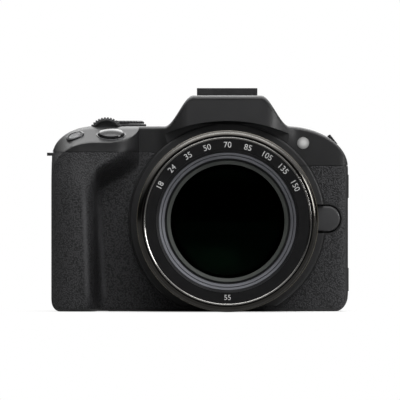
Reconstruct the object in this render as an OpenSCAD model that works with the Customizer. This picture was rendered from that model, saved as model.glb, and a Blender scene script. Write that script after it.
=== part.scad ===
// Compact interchangeable-lens camera with a retracted mid-range zoom lens.
// X points right as seen from the front, Y points back, Z points up, in millimetres.
// The origin is the mouth of the tripod socket, straight below the lens axis.

/* [Body] */
// Overall width of the body
body_w = 114.1; // [110:0.1:120]
// Distance from the lens axis to the grip-side wall
grip_side = 67.6; // [66:0.1:70]
// Distance from the tripod axis forward to the front wall
body_front = 15; // [14:0.1:17]
// Distance from the tripod axis back to the rear wall
body_back = 17; // [16.5:0.1:19]
// Height of the top plate
shoulder_h = 71.2; // [70:0.1:74]
// Wall thickness of the moulded covers
wall = 2.2; // [1.8:0.1:2.6]
// Thickness of the base plate
base_t = 2.2; // [1.8:0.1:2.8]
// Gap between pieces that move past each other
gap = 0.3; // [0.2:0.02:0.4]
// Thickness of the textured skins
skin_t = 1; // [0.6:0.1:1.4]
// Height of the seam between top cover and skin on the grip side
grip_seam_h = 61.3; // [59:0.1:63]
// Height of the seam between top cover and skin on the other side
far_seam_h = 56; // [56:0.1:58]

/* [Grip] */
// How far the grip stands out in front of the front wall
grip_reach = 21.5; // [18:0.1:24]
// How far the top of the grip leans back
grip_rake = 5.5; // [3:0.1:7]
// Width of the grip's nose
grip_nose_w = 12.7; // [12.4:0.1:13.4]
// Width of the slope between the nose and the front wall
grip_fall_w = 8.8; // [8.4:0.1:9.6]
// Width of the shelf that carries the shutter button
shelf_w = 33.6; // [31:0.1:35]
// Forward tilt of the shelf's top in degrees
shelf_tilt = 20; // [17:0.5:23]

/* [Hump] */
// Height of the viewfinder hump
hump_h = 83; // [81.5:0.1:86]
// Width of the hump's flat top
hump_top_w = 26; // [25:0.1:30]
// Width of the hump at its foot
hump_foot_w = 48; // [45:0.1:52]
// How far the hump overhangs the front wall
hump_reach = 10; // [9:0.1:13]
// Distance from the tripod axis back to the viewfinder's rear face
finder_back = 27; // [26:0.1:30]
// Thickness of the flash cover
flash_cover_t = 1.6; // [1.4:0.1:2]

/* [Lens] */
// Height of the lens axis above the base
axis_h = 34.7; // [34.6:0.1:36]
// Distance from the front wall to the lens flange
flange_reach = 6; // [5:0.1:8]
// Largest diameter of the lens
lens_d = 69; // [67:0.1:69.2]
// Length of the retracted lens in front of its flange
lens_len = 84.5; // [82:0.1:90]
// Inner radius of the filter thread
filter_r = 27; // [26:0.1:27.5]
// Radius of the front element
front_glass_r = 23.4; // [22:0.1:24]
// Travel of each of the two telescoping barrels
zoom_travel = 23; // [18:0.5:26]
// Number of ribs on the zoom ring
zoom_ribs = 60; // [40:1:72]
// Number of knurls on the control ring
control_knurls = 90; // [60:1:120]

/* [Screen] */
// Width of the screen panel
screen_w = 69; // [66:0.1:70]
// Height of the screen panel
screen_h = 49; // [46:0.1:49.5]
// Thickness of the screen panel
screen_t = 5.2; // [4.6:0.1:6]

/* [Controls] */
// Radius of the shutter button
shutter_r = 4.8; // [4:0.1:5.2]
// Radius of the movie button
movie_r = 2.6; // [2:0.1:3]
// Radius of the main dial
main_dial_r = 7; // [6.4:0.1:7.4]
// Radius of the mode dial
mode_dial_r = 9; // [8:0.1:9.6]
// Height of the mode dial above the top plate
mode_dial_h = 2.2; // [1.6:0.1:3]
// Radius of the small rear buttons
button_r = 2.5; // [2:0.1:2.8]
// Travel of the small buttons
button_travel = 0.7; // [0.4:0.1:0.9]
// Outer radius of the direction pad
pad_r = 9.4; // [8.5:0.1:9.8]
// Radius of the set button inside the pad
set_r = 4; // [3.4:0.1:4.6]

/* [Mounts] */
// Radius of the tripod socket's thread
tripod_r = 3.175; // [3:0.005:3.3]
// Depth of the tripod socket
tripod_depth = 6; // [5:0.1:7]
// Width of the accessory shoe's slot
shoe_slot_w = 18.9; // [18.6:0.1:19.2]
// Length of the accessory shoe
shoe_len = 18; // [16:0.1:19]

/* [Hidden] */
$fn = 64;

// Named places that follow from the driving sizes
body_left = -grip_side;
body_right = body_w - grip_side;
front_y = -body_front;
flange_y = front_y - flange_reach;
cavity_front_y = front_y + wall;
boss_r = axis_h + 3;
boss_reach = 3.5;
split_y = 3;
seam_step_x = -27;
eps = 0.02;
far = 200;

// Curves of the moulded body

function clamp01(t) = max(0, min(1, t));
// Smooth step from 0 to 1
function ease(t) = let (c = clamp01(t)) c * c * (3 - 2 * c);
// Drop of a quarter ellipse, from ry at its end to nothing at a distance rx
function arc_drop(d, rx, ry) = d >= rx ? 0 : ry * (1 - sqrt(1 - pow(1 - max(d, 0) / rx, 2)));

left_shoulder = [16.5, 12];
right_shoulder = [24, 16];
left_foot = [3.5, 4.5];
right_foot = [5, 6.5];
grip_round = [11, 14];
side_round = 4;
back_round = 6;
top_round = 2.5;
foot_round = 2;
rake_span = [44, 64];
grip_inner_x = body_left + grip_nose_w + grip_fall_w;
grip_hollow_w = 0.5 * grip_fall_w;
grip_flank_x = grip_inner_x - grip_hollow_w;
shelf_end_x = body_left + shelf_w;
shelf_mid_x = shelf_end_x - 13;
shelf_under = 10.5;
shelf_low = 7;
shelf_slant = 0.55;
plateau_back_y = front_y + 1.5;
hump_face_w = hump_top_w + 4;
hump_skirt_w = hump_foot_w + 8;
hump_lean = 0.2;
hump_rise = [58, 10];
thumb_bump = 2.4;

// Height of the body's silhouette at x: two shoulders and the hump
function top_z(x) = shoulder_h - arc_drop(x - body_left, left_shoulder[0], left_shoulder[1])
    - arc_drop(body_right - x, right_shoulder[0], right_shoulder[1])
    + (hump_h - shoulder_h) * ease((hump_foot_w / 2 - abs(x)) / ((hump_foot_w - hump_top_w) / 2));

// Height of the silhouette's lower edge at x
function bottom_z(x) = arc_drop(x - body_left, left_foot[0], left_foot[1])
    + arc_drop(body_right - x, right_foot[0], right_foot[1]);

// Share of the grip's reach at a point of the front: the nose below, the wider shelf above
function grip_share(x, z) = let (
    nose = x < grip_flank_x ? 1 - arc_drop(grip_flank_x - x, grip_fall_w - grip_hollow_w, 0.5)
        : arc_drop(x - grip_flank_x, grip_hollow_w, 0.5),
    across = clamp01((x - shelf_mid_x) / (shelf_end_x - shelf_mid_x)),
    shelf = sqrt(1 - across * across),
    under = ease((z - grip_seam_h + shelf_low - shelf_slant * (x - shelf_end_x)) / shelf_under),
    ledge = shelf * under
) nose + ledge - nose * ledge;

// Rounding of the front's border
function front_roll(x, z) = arc_drop(x - body_left, grip_round[0], grip_round[1])
    + arc_drop(body_right - x, side_round, side_round)
    + arc_drop(top_z(x) - z, top_round, top_round) + arc_drop(z - bottom_z(x), foot_round, foot_round);

// The front surface's y at a point of the silhouette
function form_front(x, z) = let (
    reach = grip_reach - grip_rake * ease((z - rake_span[0]) / (rake_span[1] - rake_span[0])),
    grip = front_y - reach * grip_share(x, z),
    plateau = x < shelf_end_x ? plateau_back_y - (top_z(x) - z) / tan(shelf_tilt) : grip,
    swell = ease((hump_skirt_w / 2 - abs(x)) / ((hump_skirt_w - hump_face_w) / 2)),
    rise = ease((z - hump_rise[0]) / hump_rise[1]),
    hump = hump_reach * swell * rise - hump_lean * swell * max(0, z - hump_rise[0] - hump_rise[1])
) max(grip, plateau) - hump + front_roll(x, z);

// The rear surface's y at a point of the silhouette, with a swelling for the thumb
function form_back(x, z) = let (
    thumb = thumb_bump * ease((-44 - x) / 8) * ease((z - 40) / 8) * ease((62 - z) / 6)
) body_back + thumb - arc_drop(x - body_left, back_round, back_round)
    - arc_drop(body_right - x, side_round, side_round)
    - arc_drop(top_z(x) - z, top_round, top_round) - arc_drop(z - bottom_z(x), foot_round, foot_round);

// Columns of the body's grid, closer together where the outline turns
column_spans = [[body_left, body_left + 3, 4], [body_left + 3, body_left + grip_nose_w, 3],
    [body_left + grip_nose_w, grip_flank_x - grip_hollow_w / 3, 3],
    [grip_flank_x - grip_hollow_w / 3, grip_flank_x, 3], [grip_flank_x, grip_flank_x + grip_hollow_w / 4, 2],
    [grip_flank_x + grip_hollow_w / 4, grip_inner_x, 2], [grip_inner_x, shelf_end_x - 3, 2],
    [shelf_end_x - 3, shelf_end_x, 4], [shelf_end_x, -hump_skirt_w / 2, 1],
    [-hump_skirt_w / 2, -hump_foot_w / 2, 2], [-hump_foot_w / 2, -hump_top_w / 2, 5],
    [-hump_top_w / 2, hump_top_w / 2, 4], [hump_top_w / 2, hump_foot_w / 2, 5],
    [hump_foot_w / 2, hump_skirt_w / 2, 2], [hump_skirt_w / 2, body_right - 4, 3],
    [body_right - 4, body_right, 5]];
columns = concat([for (s = column_spans) for (i = [0:s[2] - 1]) s[0] + (s[1] - s[0]) * i / s[2]],
    [body_right]);
row_count = 22;
// Rows crowd towards the lower and upper edges
rows = [for (j = [0:row_count - 1]) let (t = j / (row_count - 1)) 0.45 * t + 0.55 * (1 - cos(180 * t)) / 2];

function grid_point(i, j, front) = let (
    x = columns[i],
    z = bottom_z(x) + (top_z(x) - bottom_z(x)) * rows[j]
) [x, front ? form_front(x, z) : form_back(x, z), z];

// The whole body's outer form as one closed solid: a front sheet, a rear sheet and the strip between
module form() {
    nu = len(columns);
    nv = row_count;
    sheet = nu * nv;
    points = concat([for (i = [0:nu - 1]) for (j = [0:nv - 1]) grid_point(i, j, true)],
        [for (i = [0:nu - 1]) for (j = [0:nv - 1]) grid_point(i, j, false)]);
    quads = concat(
        [for (i = [0:nu - 2]) for (j = [0:nv - 2])
            [i * nv + j, i * nv + j + 1, (i + 1) * nv + j + 1, (i + 1) * nv + j]],
        [for (i = [0:nu - 2]) for (j = [0:nv - 2])
            [sheet + i * nv + j, sheet + (i + 1) * nv + j, sheet + (i + 1) * nv + j + 1,
                sheet + i * nv + j + 1]],
        [for (i = [0:nu - 2]) [i * nv, (i + 1) * nv, sheet + (i + 1) * nv, sheet + i * nv]],
        [for (i = [0:nu - 2]) let (j = nv - 1)
            [i * nv + j, sheet + i * nv + j, sheet + (i + 1) * nv + j, (i + 1) * nv + j]],
        [for (j = [0:nv - 2]) [j, sheet + j, sheet + j + 1, j + 1]],
        [for (j = [0:nv - 2]) let (i = (nu - 1) * nv)
            [i + j, i + j + 1, sheet + i + j + 1, sheet + i + j]]);
    polyhedron(points, [for (q = quads) each [[q[0], q[1], q[2]], [q[0], q[2], q[3]]]]);
}

// One moulded skin: the solids inside are merged into a single closed surface
module moulded() {
    minkowski() {
        union() children();
    }
}

// A box between two corners
module block(low, high) {
    translate(low) cube(high - low);
}

// A cylinder along Y between two stations
module rod_y(x, z, r, y0, y1) {
    translate([x, y1, z]) rotate([90, 0, 0]) cylinder(r = r, h = y1 - y0);
}

// A cylinder along X between two stations
module rod_x(y, z, r, x0, x1) {
    translate([x0, y, z]) rotate([0, 90, 0]) cylinder(r = r, h = x1 - x0);
}

// A plate with round corners, standing across Y
module round_plate(low, high, r, y0, y1) {
    translate([0, y1, 0]) rotate([90, 0, 0]) linear_extrude(y1 - y0) union() {
        translate([low[0] + r, low[1]]) square([high[0] - low[0] - 2 * r, high[1] - low[1]]);
        translate([low[0], low[1] + r]) square([high[0] - low[0], high[1] - low[1] - 2 * r]);
        for (x = [low[0] + r, high[0] - r]) for (z = [low[1] + r, high[1] - r]) translate([x, z]) circle(r);
    }
}

// Local frame of the lens: z runs forward from the flange
module on_lens_axis() {
    translate([0, flange_y, axis_h]) rotate([90, 0, 0]) children();
}

// A ring about the local z axis
module ring(r_in, r_out, z0, z1) {
    translate([0, 0, z0]) difference() {
        cylinder(r = r_out, h = z1 - z0);
        translate([0, 0, -1]) cylinder(r = r_in, h = z1 - z0 + 2);
    }
}

// Outline of a knurled wheel with flat-topped teeth
function knurl(count, r_root, r_tip) = [for (i = [0:count - 1]) for (k = [[0.05, r_root], [0.3, r_tip],
    [0.7, r_tip], [0.95, r_root]]) let (a = 360 * (i + k[0]) / count) k[1] * [cos(a), sin(a)]];

// Everything above the seams; the seam steps at the left edge of the screen
module above_seams(offset = 0) {
    block([-far, -far, grip_seam_h + offset], [seam_step_x, far, far]);
    block([seam_step_x, -far, far_seam_h + offset], [far, far, far]);
}

// The disc around the lens mount
module boss(r, y_to) {
    rod_y(0, axis_h, r, front_y - boss_reach, y_to);
}

// Recess under the hump's brow: an arch over the lens, cut back from the hump's face
brow_h = hump_h - 9.8;
brow_r = 60;
brow_half_w = hump_skirt_w / 2 + 2;
brow_back_y = front_y - boss_reach + 1;
module brow_cut() {
    intersection() {
        rod_y(0, brow_h - brow_r, brow_r, -far, brow_back_y);
        block([-brow_half_w, -far, far_seam_h - 1], [brow_half_w, far, far]);
    }
}

// Rear part of the hump, which carries the viewfinder
finder_half_w = 19;
finder_low_z = far_seam_h + 2;
module finder_block() {
    outline = concat([[finder_half_w, finder_low_z], [-finder_half_w, finder_low_z]],
        [for (i = [-12:12]) let (x = finder_half_w * i / 12) [x, top_z(x) - eps]]);
    translate([0, finder_back, 0]) rotate([90, 0, 0]) linear_extrude(finder_back - 2) polygon(outline);
}

// Band under the hump's silhouette that the flash cover occupies
flash_half_w = 20.4;
flash_back_y = front_y + 8.5;
module flash_band(grow) {
    outer = [for (i = [-12:12]) let (x = (flash_half_w + grow) * i / 12) [x, top_z(x) + 3]];
    inner = [for (i = [12:-1:-12]) let (x = (flash_half_w + grow) * i / 12)
        [x, top_z(x) - flash_cover_t - grow]];
    translate([0, flash_back_y + grow, 0]) rotate([90, 0, 0]) linear_extrude(far)
        polygon(concat(outer, inner));
}

// Flash head below its cover
flash_head_half_w = 15;
flash_head_y = [flash_back_y - 13, flash_back_y - 2.5];
flash_head_low_z = hump_h - 7.7;
flash_axis_y = flash_back_y - 0.6;
flash_axis_z = hump_h - 1.3;
flash_knuckle_r = 1.2;
flash_pin_r = 0.6;
flash_knuckle_half = 12;
flash_swing = 1.6;

// Accessory shoe
shoe_wall = 2.2;
shoe_w = shoe_slot_w + 2 * shoe_wall;
shoe_front_y = flash_back_y + 2.2;
shoe_floor_t = 0.8;
shoe_slot_h = 2.1;
shoe_lip_t = 0.9;
shoe_lip_w = 3;
shoe_base_z = hump_h - 0.9;
shoe_top_z = shoe_base_z + shoe_floor_t + shoe_slot_h + shoe_lip_t;

// Screen and its recess; the hinge runs down the far edge
screen_hinge_x = body_right - 1.2;
screen_hinge_y = body_back + 1.4;
screen_right_x = screen_hinge_x - 0.9;
screen_left_x = screen_right_x - screen_w;
screen_low_z = 5.6;
screen_front_y = body_back - 2.5;
screen_floor_y = screen_front_y - gap;
screen_pin_r = 0.9;
screen_knuckle_r = 1.7;
knuckle_h = 9;

// Battery bay, card and door
battery_size = [12.4, 32.2, 48.4];
battery_x = body_left + 3.4;
battery_y = -19.8;
bay_gap = 0.4;
bay_x = [battery_x - bay_gap, battery_x + battery_size[0] + bay_gap];
bay_y = [battery_y - bay_gap, battery_y + battery_size[1] + bay_gap];
battery_z = base_t + 1;
card_size = [2.1, 24, 32];
card_x = bay_x[1] + 2.2;
slot_wall = 0.9;
card_y = cavity_front_y + slot_wall + gap;
door_x = [bay_x[0] - 0.2, card_x + card_size[0] + 1.4];
door_y = [bay_y[0] - 0.4, bay_y[1] + 0.4];
door_low_z = 0.15;
door_t = base_t - door_low_z - 0.2;
door_axis_x = door_x[1] + 1.3;
door_axis_z = door_low_z + door_t / 2;
door_pin_r = 0.5;
door_mid_y = (door_y[0] + door_y[1]) / 2;
door_leaf = 8;
door_pin_over = 1.5;
door_pin_y = [door_mid_y - door_leaf - door_pin_over, door_mid_y + door_leaf + door_pin_over];
door_recess = 0.45;
// Outline of the door; its front corner stays behind the hollow beside the grip
module door_shape(grow, z0, z1) {
    translate([0, 0, z0]) linear_extrude(z1 - z0) polygon([[door_x[0] - grow, door_y[0] - grow],
        [grip_flank_x - 0.2 + grow, door_y[0] - grow],
        [grip_flank_x + 1.2 + grow, front_y - 1 - grow / 2],
        [door_x[1] + grow, front_y + 2.2 - grow], [door_x[1] + grow, door_y[1] + grow],
        [door_x[0] - grow, door_y[1] + grow]]);
}

// Controls on the grip's shelf
shutter_x = -44.6 + 67.6 + body_left;
shutter_run = 9.5;
shutter_y = plateau_back_y - shutter_run;
shutter_z = shoulder_h - shutter_run * tan(shelf_tilt);
movie_x = body_left + 9.1;
movie_run = 7.2;
movie_y = plateau_back_y - movie_run;
movie_z = top_z(movie_x) - movie_run * tan(shelf_tilt);
movie_lean = 20;
main_dial_x = body_left + 21.1;
main_dial_z = shoulder_h + 3.5 - main_dial_r;
main_dial_y = [front_y + 4, front_y + 9.4];
main_axle_r = 1.2;
hood_r = [main_dial_r - 1.7, main_dial_r - 0.9];
hood_t = 1.6;
mode_dial_x = body_left + 26.6;
mode_dial_y = 4.6;
mode_hub_r = 3;
dial_bevel = 0.45;
lever_t = 0.9;

// Places of the rear controls, as x and z
upper_button_z = (grip_seam_h + shoulder_h) / 2 - 1.25;
menu_at = [-31.5, upper_button_z];
lock_at = [-45.4, upper_button_z];
info_at = [-36, 49];
play_at = [-35.5, 13];
pad_at = [-46, 30];
diopter_at = [-16.4, 62.2];
diopter_r = 2.1;
control_depth = 3.4;
control_y = body_back - control_depth;
well_y = control_y - 3.6;
button_flange = 0.7;
button_flange_t = 0.8;

// Release button beside the mount
release_z = axis_h + 0.9;
release_half_h = 5.2;
release_tip_x = body_right - 2.8;
release_root_x = 32.5;

// Covers over the sockets on both sides
cover_t = 1.4;
usb_y = [1, 10];
usb_z = [20, 44];
microphone_y = [-6, 5];
microphone_z = [16, 40];
cover_axis_in = 0.4;

// Focus lamp, between the shoulder and the raised disc round the mount
lamp_r = 2.3;
lamp_gap = 1.9;
lamp_z = far_seam_h + 0.575 * (shoulder_h - far_seam_h);
lamp_x = sqrt(pow(boss_r + lamp_r + lamp_gap, 2) - pow(lamp_z - axis_h, 2));
lug_y = 0;
lug_t = 1.3;
left_lug_z = grip_seam_h - 0.8;

// Main cavity of the body
cavity_back_y = control_y + 1.2;
cavity_screen_y = screen_floor_y - 1.8;
cavity_left_x = bay_x[1] + 1;
cavity_right_x = body_right - 3.4;
cavity_top_z = shoulder_h - wall - 0.2;
module cavity() {
    block([cavity_left_x, cavity_front_y, base_t - 1], [seam_step_x - 0.5, cavity_back_y, cavity_top_z]);
    block([seam_step_x - 1, cavity_front_y, base_t - 1], [cavity_right_x, cavity_screen_y, 60]);
    block([seam_step_x - 1, cavity_front_y, 59], [hump_foot_w / 2 - 2, cavity_screen_y, cavity_top_z]);
    block([0, cavity_front_y, 59], [chassis_x[1] + 0.6, cavity_screen_y, chassis_z[1] + gap]);
    block([bay_x[0], bay_y[0], base_t - 1], [bay_x[1], bay_y[1], battery_z + battery_size[2] + bay_gap]);
    block([bay_x[0], bay_y[1] - 0.1, 9], [cavity_left_x + 0.1, cavity_back_y, cavity_top_z - 2]);
    block([shelf_mid_x - 9, front_y + 1, 55], [cavity_left_x + 0.1, cavity_back_y, cavity_top_z - 2]);
    block([-window_half_w - 4.6, flash_back_y + 4, far_seam_h + 4],
        [window_half_w + 4.6, finder_back - wall, hump_h - 2.4]);
    translate([capacitor_at[0], capacitor_at[1], base_t - 1])
        cylinder(r = capacitor_r + gap, h = capacitor_z[1] - base_t + 1 + gap);
}

capacitor_r = 4.2;
capacitor_at = [body_left + 7.2, front_y - 12.6];
capacitor_z = [base_t + eps, 42];

// A straight well for a button, along its own axis
module shelf_axis(x, y, z, lean) {
    translate([x, y, z]) rotate([shelf_tilt, -lean, 0]) children();
}

// Cuts that the moving controls need in the covers
module control_cuts() {
    shelf_axis(shutter_x, shutter_y, shutter_z, 0) translate([0, 0, -7])
        cylinder(r = shutter_r + gap, h = 12);
    shelf_axis(movie_x, movie_y, movie_z, movie_lean) translate([0, 0, -5])
        cylinder(r = movie_r + gap, h = 9);
    rod_y(main_dial_x, main_dial_z, main_dial_r + 0.5, main_dial_y[0] - gap, main_dial_y[1] + gap);
    block([main_dial_x - main_dial_r - 0.5, main_dial_y[0] - gap, main_dial_z],
        [main_dial_x + main_dial_r + 0.5, main_dial_y[1] + gap, far]);
    rod_y(main_dial_x, main_dial_z, main_axle_r + 0.1, main_dial_y[0] - 2, main_dial_y[1] + 2);
    translate([mode_dial_x, mode_dial_y, shoulder_h - 6]) cylinder(r = mode_hub_r + gap, h = far);
    for (at = [menu_at, lock_at, info_at, play_at]) {
        rod_y(at[0], at[1], button_r + gap, well_y, far);
        rod_y(at[0], at[1], button_r + button_flange + gap, well_y, control_y + button_flange_t + gap);
    }
    rod_y(pad_at[0], pad_at[1], pad_r + gap, well_y, far);
    rod_y(diopter_at[0], diopter_at[1], diopter_r + gap, finder_back - 1.2, far);
    rod_y(diopter_at[0], diopter_at[1], 1.06, finder_back - 5, far);
    release_shape(gap, -far, cavity_front_y + 1);
}

// Capsule of the release button, grown by a margin
module release_shape(grow, y0, y1) {
    for (x = [release_root_x + release_half_h, release_tip_x - release_half_h])
        rod_y(x, release_z, release_half_h + grow, y0, y1);
    block([release_root_x + release_half_h, y0, release_z - release_half_h - grow],
        [release_tip_x - release_half_h, y1, release_z + release_half_h + grow]);
}

// Recesses of the socket covers, with the round space their edges turn in
module cover_cuts() {
    block([body_left - 1, usb_y[0] - cover_axis_in - cover_t / 2 - gap, usb_z[0] - gap],
        [body_left + cover_t + gap, usb_y[1] + gap, usb_z[1] + gap]);
    block([body_right - cover_t - gap, microphone_y[0] - cover_axis_in - cover_t / 2 - gap,
        microphone_z[0] - gap], [body_right + 1, microphone_y[1] + gap, microphone_z[1] + gap]);
}

// Pockets that the strap passes through behind each lug
lug_len = 9;
lug_out = 1.8;
lug_in = 4;
module lug_frame_left() {
    translate([body_left, lug_y, left_lug_z]) children();
}
right_lug_x = body_right - 5.6;
right_lug_tilt = 52;
module lug_frame_right() {
    translate([right_lug_x, lug_y, top_z(right_lug_x)]) rotate([0, right_lug_tilt, 0]) mirror([1, 0, 0])
        children();
}
module lug_pocket() {
    rotate([90, 0, 0]) translate([0, 0, -lug_len / 2 - 1.2]) cylinder(r = 3.1, h = lug_len + 2.4);
}

// Regions of the three skins; those beside the lens end at its boss
skin_inner_x = 10;
module grip_skin_region() {
    difference() {
        block([-far, -far, base_t], [-skin_inner_x, split_y, grip_seam_h]);
        boss(boss_r, split_y);
        above_seams(0);
    }
}
module front_skin_region() {
    difference() {
        block([skin_inner_x, -far, base_t], [body_right - 1, 0, far_seam_h]);
        boss(boss_r, split_y);
        release_shape(gap, -far, far);
    }
}
module thumb_skin_region() {
    round_plate([body_left + 4.37, 41.2], [-41.4, 59.7], 5, 10, 30);
}
// Room for a skin: a region less the form shifted inwards from both sides by the skin's thickness
module skin_room(depth, side) {
    difference() {
        children();
        intersection() {
            translate([side, depth, 0]) form();
            translate([-side, depth, 0]) form();
        }
    }
}
// The outermost layer of the form inside a region
module skin_layer(depth, side) {
    intersection() {
        form();
        skin_room(depth, side) children();
    }
}
skin_side = 0.5 * skin_t;
// Thickness of the adhesive between a skin and its bed
bond = 0.04;

// Arched lip that guards the main dial's front
module dial_hood() {
    y1 = main_dial_y[0] - gap - eps;
    intersection() {
        difference() {
            rod_y(main_dial_x, main_dial_z, hood_r[1], y1 - hood_t, y1);
            rod_y(main_dial_x, main_dial_z, hood_r[0], y1 - hood_t - 1, y1 + 1);
        }
        block([-far, -far, shoulder_h - 1.2], [far, far, far]);
    }
}

// Camera body

module front_cover() {
    color("#202022") moulded() difference() {
        union() {
            difference() {
                form();
                above_seams(0);
                skin_room(skin_t + bond, skin_side + bond) grip_skin_region();
                skin_room(skin_t + bond, skin_side + bond) front_skin_region();
            }
            boss(boss_r - gap / 2, cavity_front_y + 1);
        }
        block([-far, split_y, -far], [far, far, far]);
        block([-far, -far, -far], [far, far, base_t]);
        cavity();
        control_cuts();
        cover_cuts();
        rod_y(0, axis_h, 28, -far, 0);
        mount_screw_holes(0.75);
        lug_frame_left() lug_pocket();
    }
}

module top_cover() {
    color("#262628") moulded() difference() {
        intersection() {
            union() {
                form();
                finder_block();
                dial_hood();
            }
            union() {
                above_seams(0);
                block([-finder_half_w - 1, split_y + 8, finder_low_z - 2], [finder_half_w + 1, far, far]);
            }
        }
        rod_y(0, axis_h, boss_r, -far, cavity_front_y + 1.2);
        brow_cut();
        block([-far, cavity_screen_y - 0.5, -far], [far, body_back + 0.5, finder_low_z]);
        cavity();
        control_cuts();
        flash_band(gap);
        block([-flash_head_half_w - gap, flash_head_y[0] - flash_swing, flash_head_low_z - 0.5],
            [flash_head_half_w + gap, flash_head_y[1] + 0.6, far]);
        rod_x(flash_axis_y, flash_axis_z, flash_knuckle_r + gap, -flash_knuckle_half - gap,
            flash_knuckle_half + gap);
        rod_x(flash_axis_y, flash_axis_z, flash_pin_r + 0.05, -flash_knuckle_half - 2,
            flash_knuckle_half + 2);
        block([-shoe_w / 2 - 0.05, shoe_front_y - 0.05, shoe_base_z - 0.05],
            [shoe_w / 2 + 0.05, shoe_front_y + shoe_len + 0.05, far]);
        window_plate(0.2, 0.2, finder_back - 4, far);
        rod_y(lamp_x, lamp_z, lamp_r + 0.1, front_y - 2, front_y + 1.6);
        lug_frame_left() lug_pocket();
        lug_frame_right() lug_pocket();
    }
}

module rear_cover() {
    color("#1e1e20") moulded() difference() {
        form();
        above_seams(0);
        skin_room(-skin_t - bond, skin_side + bond) thumb_skin_region();
        block([-far, -far, -far], [far, split_y, far]);
        block([-far, -far, -far], [far, far, base_t]);
        cavity();
        control_cuts();
        cover_cuts();
        block([screen_left_x - gap, screen_floor_y, screen_low_z - gap],
            [far, far, screen_low_z + screen_h + gap]);
        translate([screen_hinge_x, screen_hinge_y, 0]) cylinder(r = screen_knuckle_r + 0.5, h = far);
        lug_frame_left() lug_pocket();
    }
}

module base_plate() {
    color("#1a1a1c") moulded() difference() {
        form();
        block([-far, -far, base_t], [far, far, far]);
        door_shape(gap, -1, far);
        block([door_x[1], door_mid_y - door_leaf - gap, -1],
            [door_axis_x + 1.3, door_mid_y + door_leaf + gap, far]);
        rod_y(door_axis_x, door_axis_z, door_pin_r + 0.08, door_pin_y[0] - 0.2, door_pin_y[1] + 0.2);
        translate([0, 0, -1]) cylinder(r = socket_r + 0.05, h = far);
        for (at = base_screw_spots) translate([at[0], at[1], -1]) cylinder(r = screw_head_r + 0.1, h = far);
    }
}

module grip_skin() {
    color("#1c1c1e") moulded() difference() {
        skin_layer(skin_t, skin_side) grip_skin_region();
        control_cuts();
        cover_cuts();
        lug_frame_left() lug_pocket();
    }
}

module front_skin() {
    color("#1c1c1e") moulded() skin_layer(skin_t, skin_side) front_skin_region();
}

module thumb_skin() {
    color("#1c1c1e") moulded() difference() {
        skin_layer(-skin_t, skin_side) thumb_skin_region();
        control_cuts();
    }
}

// Fasteners, mount and frame

mount_t = 2.5;
mount_r = 33.2;
throat_r = 27;
tab_r = 25.5;
tab_angle = 46;
mount_screw_r = 30.2;
socket_r = 6;
screw_head_r = 1.5;
base_screw_spots = [[36, 8], [36, -8], [-30, 9], [-36, -10]];

module three_tabs(r0, r1, z0, z1, angle) {
    for (a = [90, 210, 330]) rotate([0, 0, a - angle / 2]) rotate_extrude(angle = angle)
        translate([r0, z0]) square([r1 - r0, z1 - z0]);
}

module at_mount_screws() {
    on_lens_axis() for (a = [45, 135, 225, 315]) rotate([0, 0, a]) translate([mount_screw_r, 0, 0])
        children();
}

module mount_screw_holes(r) {
    at_mount_screws() translate([0, 0, -mount_t - 5]) cylinder(r = r, h = 8);
}

module lens_mount() {
    color("#b8b8ba") difference() {
        on_lens_axis() union() {
            ring(throat_r, mount_r, -mount_t, 0);
            three_tabs(tab_r, throat_r + 0.5, -mount_t, -1.3, tab_angle);
        }
        at_mount_screws() translate([0, 0, -mount_t - 1]) cylinder(r = 0.8, h = 10);
        at_mount_screws() translate([0, 0, -1.2]) cylinder(r = screw_head_r + 0.1, h = 10);
    }
}

module mount_screws() {
    color("#8c8c8e") at_mount_screws() union() {
        translate([0, 0, -1.15]) cylinder(r = screw_head_r, h = 1.05);
        translate([0, 0, -mount_t - 4]) cylinder(r = 0.7, h = mount_t + 3);
    }
}

contact_z = [-flange_reach - wall + eps, -5.8];
module mount_contacts() {
    color("#c9a24a") on_lens_axis() rotate([0, 0, 240]) rotate_extrude(angle = 60)
        translate([26.2, contact_z[0]]) square([1.6, contact_z[1] - contact_z[0]]);
}

// Chassis plate behind the front wall, with posts for the sensor and bridges for the main board
chassis_y = [cavity_front_y, cavity_front_y + 2];
chassis_x = [-31, release_root_x - 2 * gap];
chassis_z = [base_t + eps, 64];
board_post = [23, 14];
board_t = 1.2;
sensor_back_y = flange_y + 23.8;
main_board_y = sensor_back_y + 5.4;
module chassis() {
    color("#5a5c60") union() {
        difference() {
            block([chassis_x[0], chassis_y[0] + eps, chassis_z[0]],
                [chassis_x[1], chassis_y[1], chassis_z[1]]);
            rod_y(0, axis_h, 25.6, -far, far);
            at_mount_screws() translate([0, 0, -20]) cylinder(r = 1.1, h = 20);
        }
        for (x = [-board_post[0], board_post[0]]) for (z = [-board_post[1], board_post[1]])
            rod_y(x, axis_h + z, 1.8, chassis_y[1] - eps, sensor_back_y);
        for (x = [chassis_x[0], chassis_x[1] - 3])
            block([x, chassis_y[1] - eps, axis_h - 6], [x + 3, main_board_y, axis_h + 6]);
        difference() {
            block([-9, chassis_y[1] - eps, chassis_z[0]], [9, 9, tripod_depth + 0.6]);
            translate([0, 0, -1]) cylinder(r = socket_r + 0.05, h = far);
        }
    }
}

module tripod_socket() {
    color("#a9a9ab") difference() {
        cylinder(r = socket_r, h = tripod_depth + 1);
        translate([0, 0, -1]) cylinder(r = tripod_r, h = tripod_depth + 1);
    }
}

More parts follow.
